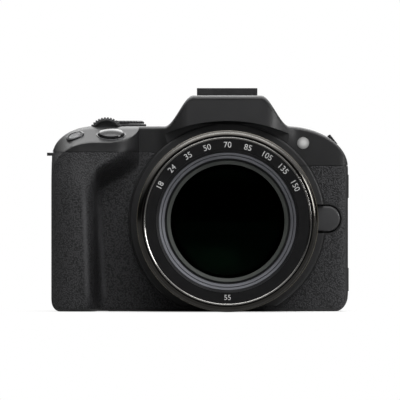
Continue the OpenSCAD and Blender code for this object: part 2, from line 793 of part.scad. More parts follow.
// Shutter: a frame with a picture gate, and one curtain parked below the gate
gate = [12, 8.5];
shutter_y0 = chassis_y[1] + eps;
shutter_t = 5;
curtain_h = 17.4;
curtain_top = -gate[1] - 0.4;
module shutter_frame() {
    color("#2b2b2d") difference() {
        block([-18, shutter_y0, axis_h + curtain_top - curtain_h - 1.1],
            [18, shutter_y0 + shutter_t, axis_h + gate[1] + 2.5]);
        block([-gate[0], -far, axis_h - gate[1]], [gate[0], far, axis_h + gate[1]]);
        block([-15, shutter_y0 + 1.9, axis_h + curtain_top - curtain_h - gap],
            [15, shutter_y0 + 3.2, axis_h + gate[1] + gap]);
    }
}

module shutter_curtain() {
    color("#3a3a3c") block([-14.7, shutter_y0 + 2.2, axis_h + curtain_top - curtain_h],
        [14.7, shutter_y0 + 2.9, axis_h + curtain_top]);
}

module image_sensor() {
    color("#2f3b52") block([-15, flange_y + 19.8, axis_h - 11], [15, sensor_back_y, axis_h + 11]);
}

module sensor_board() {
    color("#1f5a3a") block([-26, sensor_back_y, axis_h - 17], [26, sensor_back_y + board_t, axis_h + 17]);
}

module main_board() {
    color("#1f5a3a") block([chassis_x[0] + 1, main_board_y, base_t + 5.8],
        [chassis_x[1] + 1, main_board_y + board_t, far_seam_h]);
}

module battery() {
    color("#3c3c40") block([battery_x, battery_y, battery_z],
        [battery_x, battery_y, battery_z] + battery_size);
}

module memory_card() {
    color("#28406a") block([card_x, card_y, base_t + 1], [card_x, card_y, base_t + 1] + card_size);
}

module card_slot() {
    low = [card_x - slot_wall, card_y - slot_wall, base_t + 8];
    color("#9a9a9c") difference() {
        block(low, [card_x + card_size[0] + slot_wall, card_y + card_size[1] + slot_wall,
            base_t + 1 + card_size[2] + slot_wall]);
        block([card_x - 0.1, card_y - 0.1, base_t], [card_x + card_size[0] + 0.1, card_y + card_size[1] + 0.1,
            base_t + 1 + card_size[2] + 0.1]);
    }
}

module flash_capacitor() {
    color("#22324a") translate([capacitor_at[0], capacitor_at[1], capacitor_z[0]])
        cylinder(r = capacitor_r, h = capacitor_z[1] - capacitor_z[0]);
}

// Top and rear fittings

module hot_shoe() {
    half = shoe_w / 2;
    color("#3a3a3c") difference() {
        block([-half, shoe_front_y, shoe_base_z], [half, shoe_front_y + shoe_len, shoe_top_z]);
        block([-shoe_slot_w / 2, shoe_front_y + 1.6, shoe_base_z + shoe_floor_t],
            [shoe_slot_w / 2, far, shoe_base_z + shoe_floor_t + shoe_slot_h]);
        block([-shoe_slot_w / 2 + shoe_lip_w, shoe_front_y + 1.6, shoe_base_z + shoe_floor_t],
            [shoe_slot_w / 2 - shoe_lip_w, far, far]);
    }
}

// Viewfinder window between the seam and the hump's top, grown sideways and up and down by a margin
window_half_w = 9.4;
window_z = [far_seam_h + 7.2, hump_h - 7.2];
window_round = 2.8;
module window_plate(side, rim, y0, y1) {
    low = [-window_half_w - side, window_z[0] - rim];
    high = [window_half_w + side, window_z[1] + rim];
    round_plate(low, high, min(window_round + rim, (high[1] - low[1]) / 2 - 0.1), y0, y1);
}

module viewfinder_unit() {
    color("#2a2a2c") difference() {
        window_plate(2.1, 1.7, flash_back_y + 5, finder_back - 4);
        window_plate(0, 0, flash_back_y + 9, far);
    }
}

module eyepiece_lens() {
    color("#44505c") window_plate(0, 0, finder_back - 3.9, finder_back - 0.6);
}

eyecup_out = 5.3;
eyecup_rim = [4.4, 3.3];
module eyecup() {
    color("#151516") difference() {
        union() {
            window_plate(eyecup_rim[0], eyecup_rim[1], finder_back + eps, finder_back + 2.4);
            window_plate(eyecup_rim[0] - 0.8, eyecup_rim[1] - 0.8, finder_back + 2, finder_back + eyecup_out);
        }
        window_plate(0.3, 0.3, 0, far);
        window_plate(1.7, 1.1, finder_back + 3.4, far);
    }
}

module lug() {
    difference() {
        block([-lug_out, -lug_len / 2, -lug_t / 2], [lug_in, lug_len / 2, lug_t / 2]);
        block([-lug_out + 1.3, -lug_len / 2 + 1.3, -far], [1.6, lug_len / 2 - 1.3, far]);
    }
}

// Each lug stands in its pocket and its foot ends at the pocket's floor
module strap_lugs() {
    color("#a4a4a6") intersection() {
        union() {
            lug_frame_left() lug();
            lug_frame_right() lug();
        }
        union() {
            lug_frame_left() rotate([90, 0, 0]) translate([0, 0, -far / 2]) cylinder(r = 3.05, h = far);
            lug_frame_right() rotate([90, 0, 0]) translate([0, 0, -far / 2]) cylinder(r = 3.05, h = far);
        }
    }
}

module focus_lamp() {
    color("#d8d8d4") intersection() {
        rod_y(lamp_x, lamp_z, lamp_r, front_y - 1, front_y + 1.5);
        translate([lamp_x, front_y + 5.4, lamp_z]) sphere(6);
    }
}

// Pins that the hinged pieces turn on
module hinge_pins() {
    color("#9c9c9e") union() {
        rod_x(flash_axis_y, flash_axis_z, flash_pin_r, -flash_knuckle_half - 1.8, flash_knuckle_half + 1.8);
        rod_y(main_dial_x, main_dial_z, main_axle_r, main_dial_y[0] - 1.8, main_dial_y[1] + 1.8);
        rod_y(door_axis_x, door_axis_z, door_pin_r, door_pin_y[0], door_pin_y[1]);
        translate([screen_hinge_x, screen_hinge_y, screen_low_z + 1])
            cylinder(r = screen_pin_r, h = screen_h - 2);
    }
}

module cover_screws() {
    color("#6c6c6e") for (at = base_screw_spots) translate([at[0], at[1], 0.2]) union() {
        cylinder(r = screw_head_r, h = 1.4);
        cylinder(r = 0.7, h = 2);
    }
}

// Controls

module shutter_button() {
    color("#55565a") shelf_axis(shutter_x, shutter_y, shutter_z, 0) union() {
        intersection() {
            translate([0, 0, -2.5]) cylinder(r = shutter_r, h = 4.6);
            translate([0, 0, -12]) sphere(13.9);
        }
        translate([0, 0, -5]) cylinder(r = 1.5, h = 3);
    }
}

module movie_button() {
    color("#4a4b4f") shelf_axis(movie_x, movie_y, movie_z, movie_lean) union() {
        translate([0, 0, -2.4]) cylinder(r = movie_r, h = 2.8);
        translate([0, 0, -4]) cylinder(r = 1, h = 2);
    }
}

module main_dial() {
    color("#1b1b1d") translate([main_dial_x, main_dial_y[1], main_dial_z]) rotate([90, 0, 0]) difference() {
        linear_extrude(main_dial_y[1] - main_dial_y[0]) polygon(knurl(36, main_dial_r - 0.35, main_dial_r));
        translate([0, 0, -1]) cylinder(r = main_axle_r + 0.05, h = far);
    }
}

module mode_dial() {
    color("#1b1b1d") translate([mode_dial_x, mode_dial_y, 0]) union() {
        translate([0, 0, shoulder_h + lever_t + 0.1]) linear_extrude(mode_dial_h - lever_t - 0.5)
            polygon(knurl(40, mode_dial_r - 0.35, mode_dial_r));
        translate([0, 0, shoulder_h + mode_dial_h - dial_bevel])
            cylinder(r1 = mode_dial_r - 0.4, r2 = mode_dial_r - 1, h = dial_bevel);
        translate([0, 0, shoulder_h - 5]) cylinder(r = mode_hub_r, h = 5 + lever_t + 0.2);
    }
}

module power_lever() {
    color("#303032") translate([mode_dial_x, mode_dial_y, shoulder_h + 0.05]) difference() {
        union() {
            cylinder(r = mode_dial_r + 0.8, h = lever_t - 0.05);
            rotate([0, 0, 120]) block([mode_dial_r - 1, -1.6, 0], [mode_dial_r + 3, 1.6, lever_t - 0.05]);
        }
        translate([0, 0, -1]) cylinder(r = mode_hub_r + 0.1, h = far);
    }
}

module release_button() {
    color("#232325") union() {
        release_shape(0, front_y - 0.6, front_y + 1.6);
        rod_y(release_root_x + release_half_h, release_z, 1.2, front_y + 1.5, cavity_front_y + 2.5);
    }
}

// Flash cover with its head and knuckle, hinged at the rear edge
module flash_cover() {
    color("#29292b") moulded() difference() {
        union() {
            difference() {
                intersection() {
                    form();
                    flash_band(0);
                }
                translate([0, flash_axis_y, flash_axis_z]) rotate([0, 90, 0])
                    cylinder(r = flash_knuckle_r + 0.8, h = far, center = true);
            }
            block([-flash_knuckle_half, flash_axis_y - 3, flash_axis_z - 0.2],
                [flash_knuckle_half, flash_axis_y, flash_axis_z + flash_knuckle_r]);
            rod_x(flash_axis_y, flash_axis_z, flash_knuckle_r, -flash_knuckle_half, flash_knuckle_half);
            block([-flash_head_half_w, flash_head_y[0], flash_head_low_z],
                [flash_head_half_w, flash_head_y[1], hump_h - 1]);
        }
        block([-flash_head_half_w + 1.2, flash_head_y[0] - 1, flash_head_low_z + 1],
            [flash_head_half_w - 1.2, flash_head_y[1] - 2.5, hump_h - 2.6]);
        rod_x(flash_axis_y, flash_axis_z, flash_pin_r + 0.08, -far, far);
    }
}

module flash_window() {
    color("#c8ccd0") block([-flash_head_half_w + 1.25, flash_head_y[0] + 0.1, flash_head_low_z + 1.05],
        [flash_head_half_w - 1.25, flash_head_y[0] + 1.3, hump_h - 2.65]);
}

// Screen panel with its hinge leaf
module screen_shell() {
    high_z = screen_low_z + screen_h;
    color("#202022") difference() {
        union() {
            round_plate([screen_left_x, screen_low_z], [screen_right_x, high_z], 3, screen_front_y,
                screen_front_y + screen_t);
            for (z = [screen_low_z + 2, high_z - 2 - knuckle_h]) {
                block([screen_right_x - 2, screen_hinge_y - 1, z],
                    [screen_hinge_x, screen_hinge_y + 1, z + knuckle_h]);
                translate([screen_hinge_x, screen_hinge_y, z]) cylinder(r = screen_knuckle_r, h = knuckle_h);
            }
        }
        translate([screen_hinge_x, screen_hinge_y, -1]) cylinder(r = screen_pin_r + 0.05, h = far);
        block([screen_left_x + 2.4, screen_front_y + screen_t - 1.2, screen_low_z + 3],
            [screen_right_x - 5, far, high_z - 3]);
    }
}

module screen_glass() {
    color("#0c0d10") block([screen_left_x + 2.5, screen_front_y + screen_t - 1.19, screen_low_z + 3.1],
        [screen_right_x - 5.1, screen_front_y + screen_t - 0.1, screen_low_z + screen_h - 3.1]);
}

// A small rear button with a flange behind the cover
module rear_button(at, r) {
    rod_y(at[0], at[1], r, control_y + 0.5, body_back + 0.8);
    rod_y(at[0], at[1], r + button_flange, control_y, control_y + button_flange_t);
}
module menu_button() { color("#2c2c2e") rear_button(menu_at, button_r); }
module info_button() { color("#2c2c2e") rear_button(info_at, button_r); }
module playback_button() { color("#2c2c2e") rear_button(play_at, button_r); }
module lock_button() { color("#2c2c2e") rear_button(lock_at, button_r); }

module direction_pad() {
    color("#262628") translate([pad_at[0], body_back + 0.9, pad_at[1]]) rotate([90, 0, 0]) rotate_extrude()
        polygon([[set_r + gap, 0.6], [set_r + 1.6, 0.2], [pad_r - 1, 0], [pad_r, 0.8],
            [pad_r, control_depth - 0.4], [set_r + gap, control_depth - 0.4]]);
}

module set_button() {
    color("#2c2c2e") rod_y(pad_at[0], pad_at[1], set_r, control_y + 0.6, body_back + 0.7);
}

module diopter_dial() {
    color("#1c1c1e") translate([diopter_at[0], finder_back + 0.9, diopter_at[1]]) rotate([90, 0, 0]) union() {
        linear_extrude(1.9) polygon(knurl(20, diopter_r - 0.2, diopter_r));
        cylinder(r = 1, h = 5);
    }
}

// Battery door and its latch, in the base
latch_x = [door_x[0] + 1.4, door_x[0] + 6.4];
latch_travel = 2.4;
latch_half = 4;
module battery_door() {
    mid = door_mid_y;
    color("#1d1d1f") difference() {
        union() {
            door_shape(0, door_low_z, door_low_z + door_t);
            block([door_x[1] - eps, mid - door_leaf, door_low_z + 0.2],
                [door_axis_x, mid + door_leaf, door_low_z + door_t - 0.2]);
            rod_y(door_axis_x, door_axis_z, door_t / 2, mid - door_leaf, mid + door_leaf);
        }
        rod_y(door_axis_x, door_axis_z, door_pin_r + 0.05, -far, far);
        block([latch_x[0] - gap, mid - latch_half - gap, -1],
            [latch_x[1] + latch_travel + gap, mid + latch_half + gap, door_low_z + 1.1]);
        block([door_x[1] - door_recess, -far, -1], [door_x[1] + gap, mid - door_leaf, far]);
        block([door_x[1] - door_recess, mid + door_leaf, -1], [door_x[1] + gap, far, far]);
    }
}

module battery_latch() {
    mid = door_mid_y;
    color("#2a2a2c") union() {
        block([latch_x[0], mid - latch_half, door_low_z + 0.25],
            [latch_x[1], mid + latch_half, door_low_z + 1.08]);
        for (x = [0.8:3.8]) block([latch_x[0] + x, mid - latch_half + 1, door_low_z],
            [latch_x[0] + x + 0.4, mid + latch_half - 1, door_low_z + 0.3]);
    }
}

// Flexible covers over the sockets, turning on their front edge
module socket_cover(x0, x1, y, z, axis_x) {
    axis_y = y[0] - cover_axis_in;
    union() {
        block([x0, axis_y, z[0]], [x1, y[1], z[1]]);
        translate([axis_x, axis_y, z[0]]) cylinder(r = cover_t / 2, h = z[1] - z[0]);
    }
}
module usb_cover() {
    color("#222224") socket_cover(body_left, body_left + cover_t, usb_y, usb_z, body_left + cover_t / 2);
}
module microphone_cover() {
    color("#222224") socket_cover(body_right - cover_t, body_right, microphone_y, microphone_z,
        body_right - cover_t / 2);
}

// Lens

lens_r = lens_d / 2;
ring_in_r = lens_r - 1.45;
sleeve_r = ring_in_r - 0.1;
sleeve_in_r = sleeve_r - 0.7;
middle_r = sleeve_in_r - gap;
middle_in_r = middle_r - 1.2;
front_r = middle_in_r - gap;
front_in_r = front_r - 1.5;
rim_r = middle_r;
sleeve_end = lens_len - 8.5;
control_z = [sleeve_end - 18.6, sleeve_end - 2];
zoom_z = [19.3, control_z[0] - 4.4];
inner_tube = [19.6, 22.4];
tube_end = 26;
bayonet_t = 2;

module lens_bayonet() {
    color("#b4b4b6") on_lens_axis() union() {
        ring(22, mount_r - 0.9, eps, bayonet_t);
        ring(22, tab_r - gap, -5, bayonet_t);
        three_tabs(tab_r - gap - 0.3, throat_r - gap, -mount_t - 1.7, -mount_t - 0.2, tab_angle - 4);
    }
}

// Fixed barrel: tapered rear, thin sleeve for the rings and an inner tube for the optics
module lens_barrel() {
    color("#1d1d1f") on_lens_axis() difference() {
        union() {
            rotate_extrude() polygon([[inner_tube[0], bayonet_t + eps], [mount_r - 0.9, bayonet_t + eps],
                [lens_r - 0.7, 8], [lens_r - 0.7, zoom_z[0] - gap], [sleeve_r, zoom_z[0] - gap],
                [sleeve_r, sleeve_end], [sleeve_in_r, sleeve_end], [sleeve_in_r, 6], [inner_tube[1], 6],
                [inner_tube[1], tube_end], [inner_tube[0], tube_end]]);
            ring(sleeve_r - 0.3, lens_r - 0.5, zoom_z[1] + gap, control_z[0] - gap);
            ring(sleeve_r - 0.3, lens_r - 0.4, control_z[1] + gap, sleeve_end);
        }
        for (a = [0, 180]) rotate([0, 0, a]) translate([21, 0, tube_end - 6]) cylinder(r = 0.95, h = 10);
    }
}

// Ribbed zoom ring
module zoom_ring() {
    $fn = 160;
    color("#141415") on_lens_axis() difference() {
        union() {
            ring(ring_in_r, lens_r - 0.25, zoom_z[0], zoom_z[1]);
            translate([0, 0, zoom_z[0] + 4]) linear_extrude(zoom_z[1] - zoom_z[0] - 7)
                polygon(knurl(zoom_ribs, lens_r - 0.5, lens_r));
        }
        cylinder(r = ring_in_r, h = far);
    }
}

// Knurled control ring with a bevelled front edge
module control_ring() {
    $fn = 160;
    color("#3a3936") on_lens_axis() difference() {
        union() {
            translate([0, 0, control_z[0]]) linear_extrude(control_z[1] - control_z[0] - 3)
                polygon(knurl(control_knurls, lens_r - 0.3, lens_r));
            translate([0, 0, control_z[1] - 3]) cylinder(r = lens_r - 0.1, h = 2.2);
            translate([0, 0, control_z[1] - 0.8]) cylinder(r1 = lens_r - 0.1, r2 = lens_r - 0.8, h = 0.8);
        }
        cylinder(r = ring_in_r, h = far);
    }
}

module middle_barrel() {
    color("#242426") on_lens_axis() ring(middle_in_r, middle_r, 30, sleeve_end - 0.4);
}

// Front barrel: tube, front rim and the cell of the moving glass
rim_z = sleeve_end + 0.2;
name_z = lens_len - 5.4;
glass_z = lens_len - 13;
module front_barrel() {
    color("#2a2a2c") on_lens_axis() rotate_extrude() polygon([[front_in_r, 31], [front_r, 31],
        [front_r, rim_z], [rim_r, rim_z], [rim_r, lens_len - 0.8], [rim_r - 0.7, lens_len],
        [rim_r - 0.8, lens_len],
        [rim_r - 0.8, name_z], [front_glass_r + 4, name_z], [front_glass_r + 4, glass_z + 3],
        [front_glass_r + 0.15, glass_z + 3], [front_glass_r + 0.15, glass_z - 5],
        [front_glass_r - 2, glass_z - 5], [front_glass_r - 2, glass_z - 8], [front_in_r, glass_z - 8]]);
}

// Name ring with the filter thread and the ridged cone that leads to the glass
cone_steps = 5;
module name_ring() {
    cone_low = glass_z + 3 + 2 * eps;
    cone_in = front_glass_r + 0.3;
    cone_out = filter_r - 0.1;
    rise = (name_z - cone_low) / cone_steps;
    slope = (cone_out - cone_in) / cone_steps;
    color("#19191a") on_lens_axis() rotate_extrude() polygon(concat(
        [for (i = [0:cone_steps - 1]) each [[cone_in + slope * i, cone_low + rise * i],
            [cone_in + slope * (i + 0.35), cone_low + rise * (i + 1)]]],
        [[filter_r, name_z], [filter_r, lens_len - 0.4], [rim_r - 0.85, lens_len - 0.15],
            [rim_r - 0.85, name_z + eps], [front_glass_r + 3.95, name_z + eps],
            [front_glass_r + 3.95, cone_low]]));
}

// Front element with a convex front face
front_face_r = 62;
front_sag = front_face_r - sqrt(front_face_r * front_face_r - front_glass_r * front_glass_r);
module front_element() {
    color("#101815") on_lens_axis() difference() {
        intersection() {
            translate([0, 0, glass_z - 4.9]) cylinder(r = front_glass_r, h = 20);
            translate([0, 0, glass_z + 2.4 + front_sag - front_face_r]) sphere(front_face_r);
        }
        translate([0, 0, glass_z - 42]) sphere(40);
    }
}

// Fixed optics: the iris with its seven-sided opening and the rear element
module rear_optics() {
    color("#16181c") on_lens_axis() union() {
        difference() {
            ring(3, inner_tube[0] - 0.05, 20, 23);
            translate([0, 0, 19]) cylinder(r = 9, h = 5, $fn = 7);
        }
        intersection() {
            translate([0, 0, 6]) cylinder(r = inner_tube[0] - 0.05, h = 10);
            translate([0, 0, 14 - 45]) sphere(45);
        }
        for (a = [0, 180]) rotate([0, 0, a]) translate([21, 0, tube_end - 5.9]) cylinder(r = 0.9, h = 26);
    }
}

// Focusing element in a frame that slides on the two guide rods
focus_z = 34;
module focus_group() {
    color("#1b2024") on_lens_axis() difference() {
        union() {
            ring(15, 19.4, focus_z, focus_z + 4);
            for (a = [0, 180]) rotate([0, 0, a]) block([18, -2.2, focus_z], [23.4, 2.2, focus_z + 4]);
            intersection() {
                translate([0, 0, focus_z + 0.5]) cylinder(r = 15.2, h = 4);
                translate([0, 0, focus_z + 3.6 - 50]) sphere(50);
            }
        }
        for (a = [0, 180]) rotate([0, 0, a]) translate([21, 0, focus_z - 1]) cylinder(r = 0.95, h = 6);
    }
}

front_cover();
top_cover();
rear_cover();
base_plate();
grip_skin();
front_skin();
thumb_skin();
lens_mount();
mount_screws();
mount_contacts();
chassis();
shutter_frame();
shutter_curtain();
image_sensor();
sensor_board();
main_board();
battery();
memory_card();
card_slot();
flash_capacitor();
tripod_socket();
hot_shoe();
viewfinder_unit();
eyepiece_lens();
eyecup();
strap_lugs();
focus_lamp();
hinge_pins();
cover_screws();
shutter_button();
movie_button();
main_dial();
mode_dial();
power_lever();
release_button();
flash_cover();
flash_window();
screen_shell();
screen_glass();
menu_button();
info_button();
playback_button();
lock_button();
direction_pad();
set_button();
diopter_dial();
battery_door();
battery_latch();
usb_cover();
microphone_cover();
lens_bayonet();
lens_barrel();
zoom_ring();
control_ring();
middle_barrel();
front_barrel();
name_ring();
front_element();
rear_optics();
focus_group();
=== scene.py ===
import math

import bmesh
import bpy
import numpy as np
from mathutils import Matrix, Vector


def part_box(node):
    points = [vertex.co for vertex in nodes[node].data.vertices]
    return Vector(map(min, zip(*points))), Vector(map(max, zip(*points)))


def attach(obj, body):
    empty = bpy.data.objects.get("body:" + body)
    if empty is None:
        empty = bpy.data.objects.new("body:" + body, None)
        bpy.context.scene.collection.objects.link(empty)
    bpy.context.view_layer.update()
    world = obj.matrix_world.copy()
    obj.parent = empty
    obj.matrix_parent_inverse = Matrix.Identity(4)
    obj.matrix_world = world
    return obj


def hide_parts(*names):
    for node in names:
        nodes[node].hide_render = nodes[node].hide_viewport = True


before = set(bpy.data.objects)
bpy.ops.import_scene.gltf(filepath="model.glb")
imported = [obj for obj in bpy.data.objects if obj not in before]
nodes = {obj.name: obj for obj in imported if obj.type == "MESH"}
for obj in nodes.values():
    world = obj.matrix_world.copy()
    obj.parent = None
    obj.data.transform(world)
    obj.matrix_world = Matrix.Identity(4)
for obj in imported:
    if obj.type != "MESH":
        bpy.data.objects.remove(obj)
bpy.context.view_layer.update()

# Studio
# A white product set: a soft key from the upper right, a broad fill from the front, weak boxes at the right,
# overhead and behind. The pale floor fades into the white surround a hand's width from the object.
MM = 0.001
scene = bpy.context.scene
scene.view_settings.view_transform = "Standard"


def fill(slot, value):
    """Wires an output to an input, or sets the input to a plain value."""
    if isinstance(value, bpy.types.NodeSocket):
        slot.id_data.links.new(value, slot)
    elif value is not None:
        slot.default_value = value


def feed(node, **inputs):
    """Fills a shader node's inputs by name, underscores standing for spaces."""
    for name, value in inputs.items():
        fill(node.inputs[name.replace("_", " ")], value)


def shade(tree, kind, *sources, give=0, **settings):
    """Adds a shader node and returns one of its outputs, or the node itself where it has none to give.

    Sources fill its first inputs in turn, capitalised settings the inputs of that name.
    The other settings are properties.
    """
    node = tree.nodes.new("ShaderNode" + kind)
    for name, value in settings.items():
        if name[0].isupper():
            feed(node, **{name: value})
        else:
            setattr(node, name, value)
    for slot, source in zip(node.inputs, sources):
        fill(slot, source)
    return node if give is None else node.outputs[give]


def soft_box(name, place, aim, width, height, watts):
    """A rectangular area lamp at a place in millimetres, turned to face the aim point."""
    lamp = bpy.data.lights.new(name, "AREA")
    lamp.shape = "RECTANGLE"
    lamp.size = width * MM
    lamp.size_y = height * MM
    lamp.energy = watts
    holder = bpy.data.objects.new(name, lamp)
    scene.collection.objects.link(holder)
    start = np.array(place, float)
    way = np.array(aim, float) - start
    flat = math.hypot(way[0], way[1])
    holder.location = start * MM
    holder.rotation_euler = (math.atan2(flat, -way[2]), 0, math.atan2(way[1], way[0]) - math.pi / 2)
    return holder


front_key = soft_box("front_key", (500, -1350, 1500), (0, -30, 40), 2000, 1300, 50.0)
front_key.visible_glossy = False
front_fill = soft_box("front_fill", (-60, -2600, 160), (0, -30, 40), 900, 900, 22.0)
front_fill.visible_glossy = False
front_fill.visible_transmission = False
soft_box("side_box", (1500, -350, 520), (-20, -30, 50), 500, 700, 9.0)
soft_box("overhead_box", (0, 60, 720), (0, -20, 40), 900, 420, 2.6)
soft_box("back_box", (0, 800, 520), (0, 20, 40), 700, 400, 2.4)

world = bpy.data.worlds.new("white_surround")
scene.world = world
world.use_nodes = True
sky = world.node_tree
sky.nodes.clear()


def backdrop_rays(tree):
    """One for the rays that look at the backdrop: straight from the camera, mirrored or through glass."""
    seen = shade(tree, "LightPath", give="Is Camera Ray")
    for kind in ("Is Glossy Ray", "Is Transmission Ray"):
        seen = shade(tree, "Math", seen, shade(tree, "LightPath", give=kind), operation="MAXIMUM")
    return seen


sky_way = shade(sky, "TexCoord", give="Generated")
sky_height = shade(sky, "VectorMath", sky_way, (0, 0.2, 0.98), operation="DOT_PRODUCT", give="Value")
sky_fade = shade(sky, "MapRange", sky_height, From_Min=0.25, From_Max=0.8, To_Min=0.015, To_Max=1.0,
                 interpolation_type="SMOOTHSTEP")
sky_seen = shade(sky, "Math", sky_fade, shade(sky, "LightPath", give="Is Camera Ray"), operation="MAXIMUM")
sky_light = shade(sky, "Background", (0.8, 0.82, 0.85, 1), 0.04)
sky_white = shade(sky, "Background", (1, 1, 1, 1), sky_seen)
sky_mix = shade(sky, "MixShader", backdrop_rays(sky), sky_light, sky_white)
shade(sky, "OutputWorld", sky_mix, give=None)

floor_half = 14.0
floor_mesh = bpy.data.meshes.new("floor")
floor_corners = [(x * floor_half, y * floor_half, 0) for x, y in ((-1, -1), (1, -1), (1, 1), (-1, 1))]
floor_mesh.from_pydata(floor_corners, [], [(0, 1, 2, 3)])
floor = bpy.data.objects.new("floor", floor_mesh)
scene.collection.objects.link(floor)
floor_paint = bpy.data.materials.new("pale_floor")
floor_paint.use_nodes = True
tree = floor_paint.node_tree
tree.nodes.clear()
far_away = shade(tree, "VectorMath", shade(tree, "TexCoord", give="Object"), operation="LENGTH", give="Value")
fade = shade(tree, "MapRange", far_away, From_Min=0.02, From_Max=0.09, interpolation_type="SMOOTHSTEP")
seen = shade(tree, "Math", fade, backdrop_rays(tree), operation="MULTIPLY")
mirror_dim = shade(tree, "MapRange", shade(tree, "LightPath", give="Is Glossy Ray"), To_Min=1.0, To_Max=0.2)
matte = shade(tree, "BsdfDiffuse", (0.86, 0.86, 0.86, 1))
glow = shade(tree, "Emission", (1, 1, 1, 1), mirror_dim)
shade(tree, "OutputMaterial", shade(tree, "MixShader", seen, matte, glow), give=None)
floor_mesh.materials.append(floor_paint)

# Camera
# A long lens far away, level with the middle of the object, as in a catalogue picture.
# One millimetre of the front wall covers the same number of pixels as in the photograph.
image_px = 400
px_per_mm = 2.6
axis_px = (227.2, 221.0)
base_px = 311.3
camera_distance = 7000.0
eye = bpy.data.cameras.new("camera")
eye.sensor_width = 36.0
eye.lens = eye.sensor_width * camera_distance / (image_px / px_per_mm)
eye.clip_end = 50.0
camera = bpy.data.objects.new("camera", eye)
scene.collection.objects.link(camera)
camera.location = np.array([(image_px / 2 - axis_px[0]) / px_per_mm, -camera_distance - 15,
                            (base_px - image_px / 2) / px_per_mm]) * MM
camera.rotation_euler = (math.pi / 2, 0, 0)
scene.camera = camera


# Body form
# The camera's body is four black mouldings, glass-filled nylon, that share one sculpted outer form:
# two shoulders and a hump in the outline, a deep grip with a sloping shelf, and a thumb swell behind.
def node_mm(name):
    """Lowest and highest corner of a frame node in millimetres."""
    low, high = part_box(name)
    return np.array(low) / MM, np.array(high) / MM


def middle_of(name):
    """Middle of a frame node's box in millimetres."""
    return sum(node_mm(name)) / 2


def radius_of(name):
    """Half the width of a frame node across the object."""
    low, high = node_mm(name)
    return (high[0] - low[0]) / 2


body_left, body_right = (corner[0] for corner in node_mm("rear_cover"))
axis_h = middle_of("control_ring")[2]
flange_y = node_mm("lens_mount")[0][1]
front_y = -15.0
back_y = 17.0
shoulder_h = 71.2
hump_h = 83.0
hump_top_w = 26.0
hump_foot_w = 48.0
hump_face_w = hump_top_w + 4
hump_skirt_w = hump_foot_w + 8
hump_reach = 10.0
hump_lean = 0.2
hump_rise = (58.0, 10.0)
grip_reach = 21.5
grip_rake = 5.5
rake_span = (44.0, 64.0)
grip_fall_w = 8.8
grip_hollow_w = 0.5 * grip_fall_w
grip_inner_x = body_left + 12.7 + grip_fall_w
grip_flank_x = grip_inner_x - grip_hollow_w
shelf_end_x = body_left + 33.6
shelf_mid_x = shelf_end_x - 13
shelf_tilt = math.radians(20)
plateau_back_y = front_y + 1.5
grip_seam_h = 61.3
far_seam_h = 56.0
seam_step_x = -27.0
ledge_drop = 7.0
ledge_lean = 0.55
ledge_fade = 10.5
thumb_bump = 2.4
thumb_edge_x = -44.0
thumb_span = (40.0, 62.0)
left_shoulder, right_shoulder = (16.5, 12), (24, 16)
left_foot, right_foot = (3.5, 4.5), (5, 6.5)
front_left_roll, front_top_roll = (11, 14), (1.3, 3.6)
rear_left_roll, rear_top_roll = (6, 6), (2.5, 2.5)
right_roll = (4, 4)
foot_roll = (2, 2)


def ease(t):
    """Smooth step: 3 t squared minus 2 t cubed, held at 0 and 1 outside."""
    c = np.clip(t, 0, 1)
    return c * c * (3 - 2 * c)


def arc_drop(d, rx, ry):
    """Drop of a quarter ellipse: ry at distance 0, nothing from distance rx on."""
    t = np.clip(1 - np.maximum(d, 0) / rx, 0, 1)
    return ry * (1 - np.sqrt(1 - t * t))


def soft_max(a, b, blend):
    """The larger of two values with the corner between them rounded over the blend width."""
    h = np.clip(0.5 + 0.5 * (a - b) / blend, 0, 1)
    return b + (a - b) * h + blend * h * (1 - h)


def top_line(x):
    """Upper edge of the outline: a plate less two elliptic shoulders, plus the hump's smooth step."""
    rise = ease((hump_foot_w / 2 - np.abs(x)) / ((hump_foot_w - hump_top_w) / 2))
    return (shoulder_h - arc_drop(x - body_left, *left_shoulder) - arc_drop(body_right - x, *right_shoulder)
            + (hump_h - shoulder_h) * rise)


def foot_line(x):
    """Lower edge of the outline: straight, with two elliptic corners."""
    return arc_drop(x - body_left, *left_foot) + arc_drop(body_right - x, *right_foot)


def front_face(x, z):
    """Depth of the front: the wall, less the grip's nose and shelf, the sloped plateau and the hump."""
    swelling = 1 - arc_drop(grip_flank_x - x, grip_fall_w - grip_hollow_w, 0.5)
    nose = np.where(x < grip_flank_x, swelling, arc_drop(x - grip_flank_x, grip_hollow_w, 0.5))
    across = np.clip((x - shelf_mid_x) / (shelf_end_x - shelf_mid_x), 0, 1)
    shelf = np.sqrt(1 - across * across)
    ledge = shelf * ease((z - grip_seam_h + ledge_drop - ledge_lean * (x - shelf_end_x)) / ledge_fade)
    reach = grip_reach - grip_rake * ease((z - rake_span[0]) / (rake_span[1] - rake_span[0]))
    grip = front_y - reach * (nose + ledge - nose * ledge)
    slope = plateau_back_y - (top_line(x) - z) / math.tan(shelf_tilt)
    plateau = np.where(x < shelf_end_x, slope, grip - 50)
    swell = ease((hump_skirt_w / 2 - np.abs(x)) / ((hump_skirt_w - hump_face_w) / 2))
    rise = ease((z - hump_rise[0]) / hump_rise[1])
    hump = hump_reach * swell * rise - hump_lean * swell * np.maximum(0, z - hump_rise[0] - hump_rise[1])
    roll = (arc_drop(x - body_left, *front_left_roll) + arc_drop(body_right - x, *right_roll)
            + arc_drop(top_line(x) - z, *front_top_roll) + arc_drop(z - foot_line(x), *foot_roll))
    return soft_max(grip, plateau, 0.5) - hump + roll


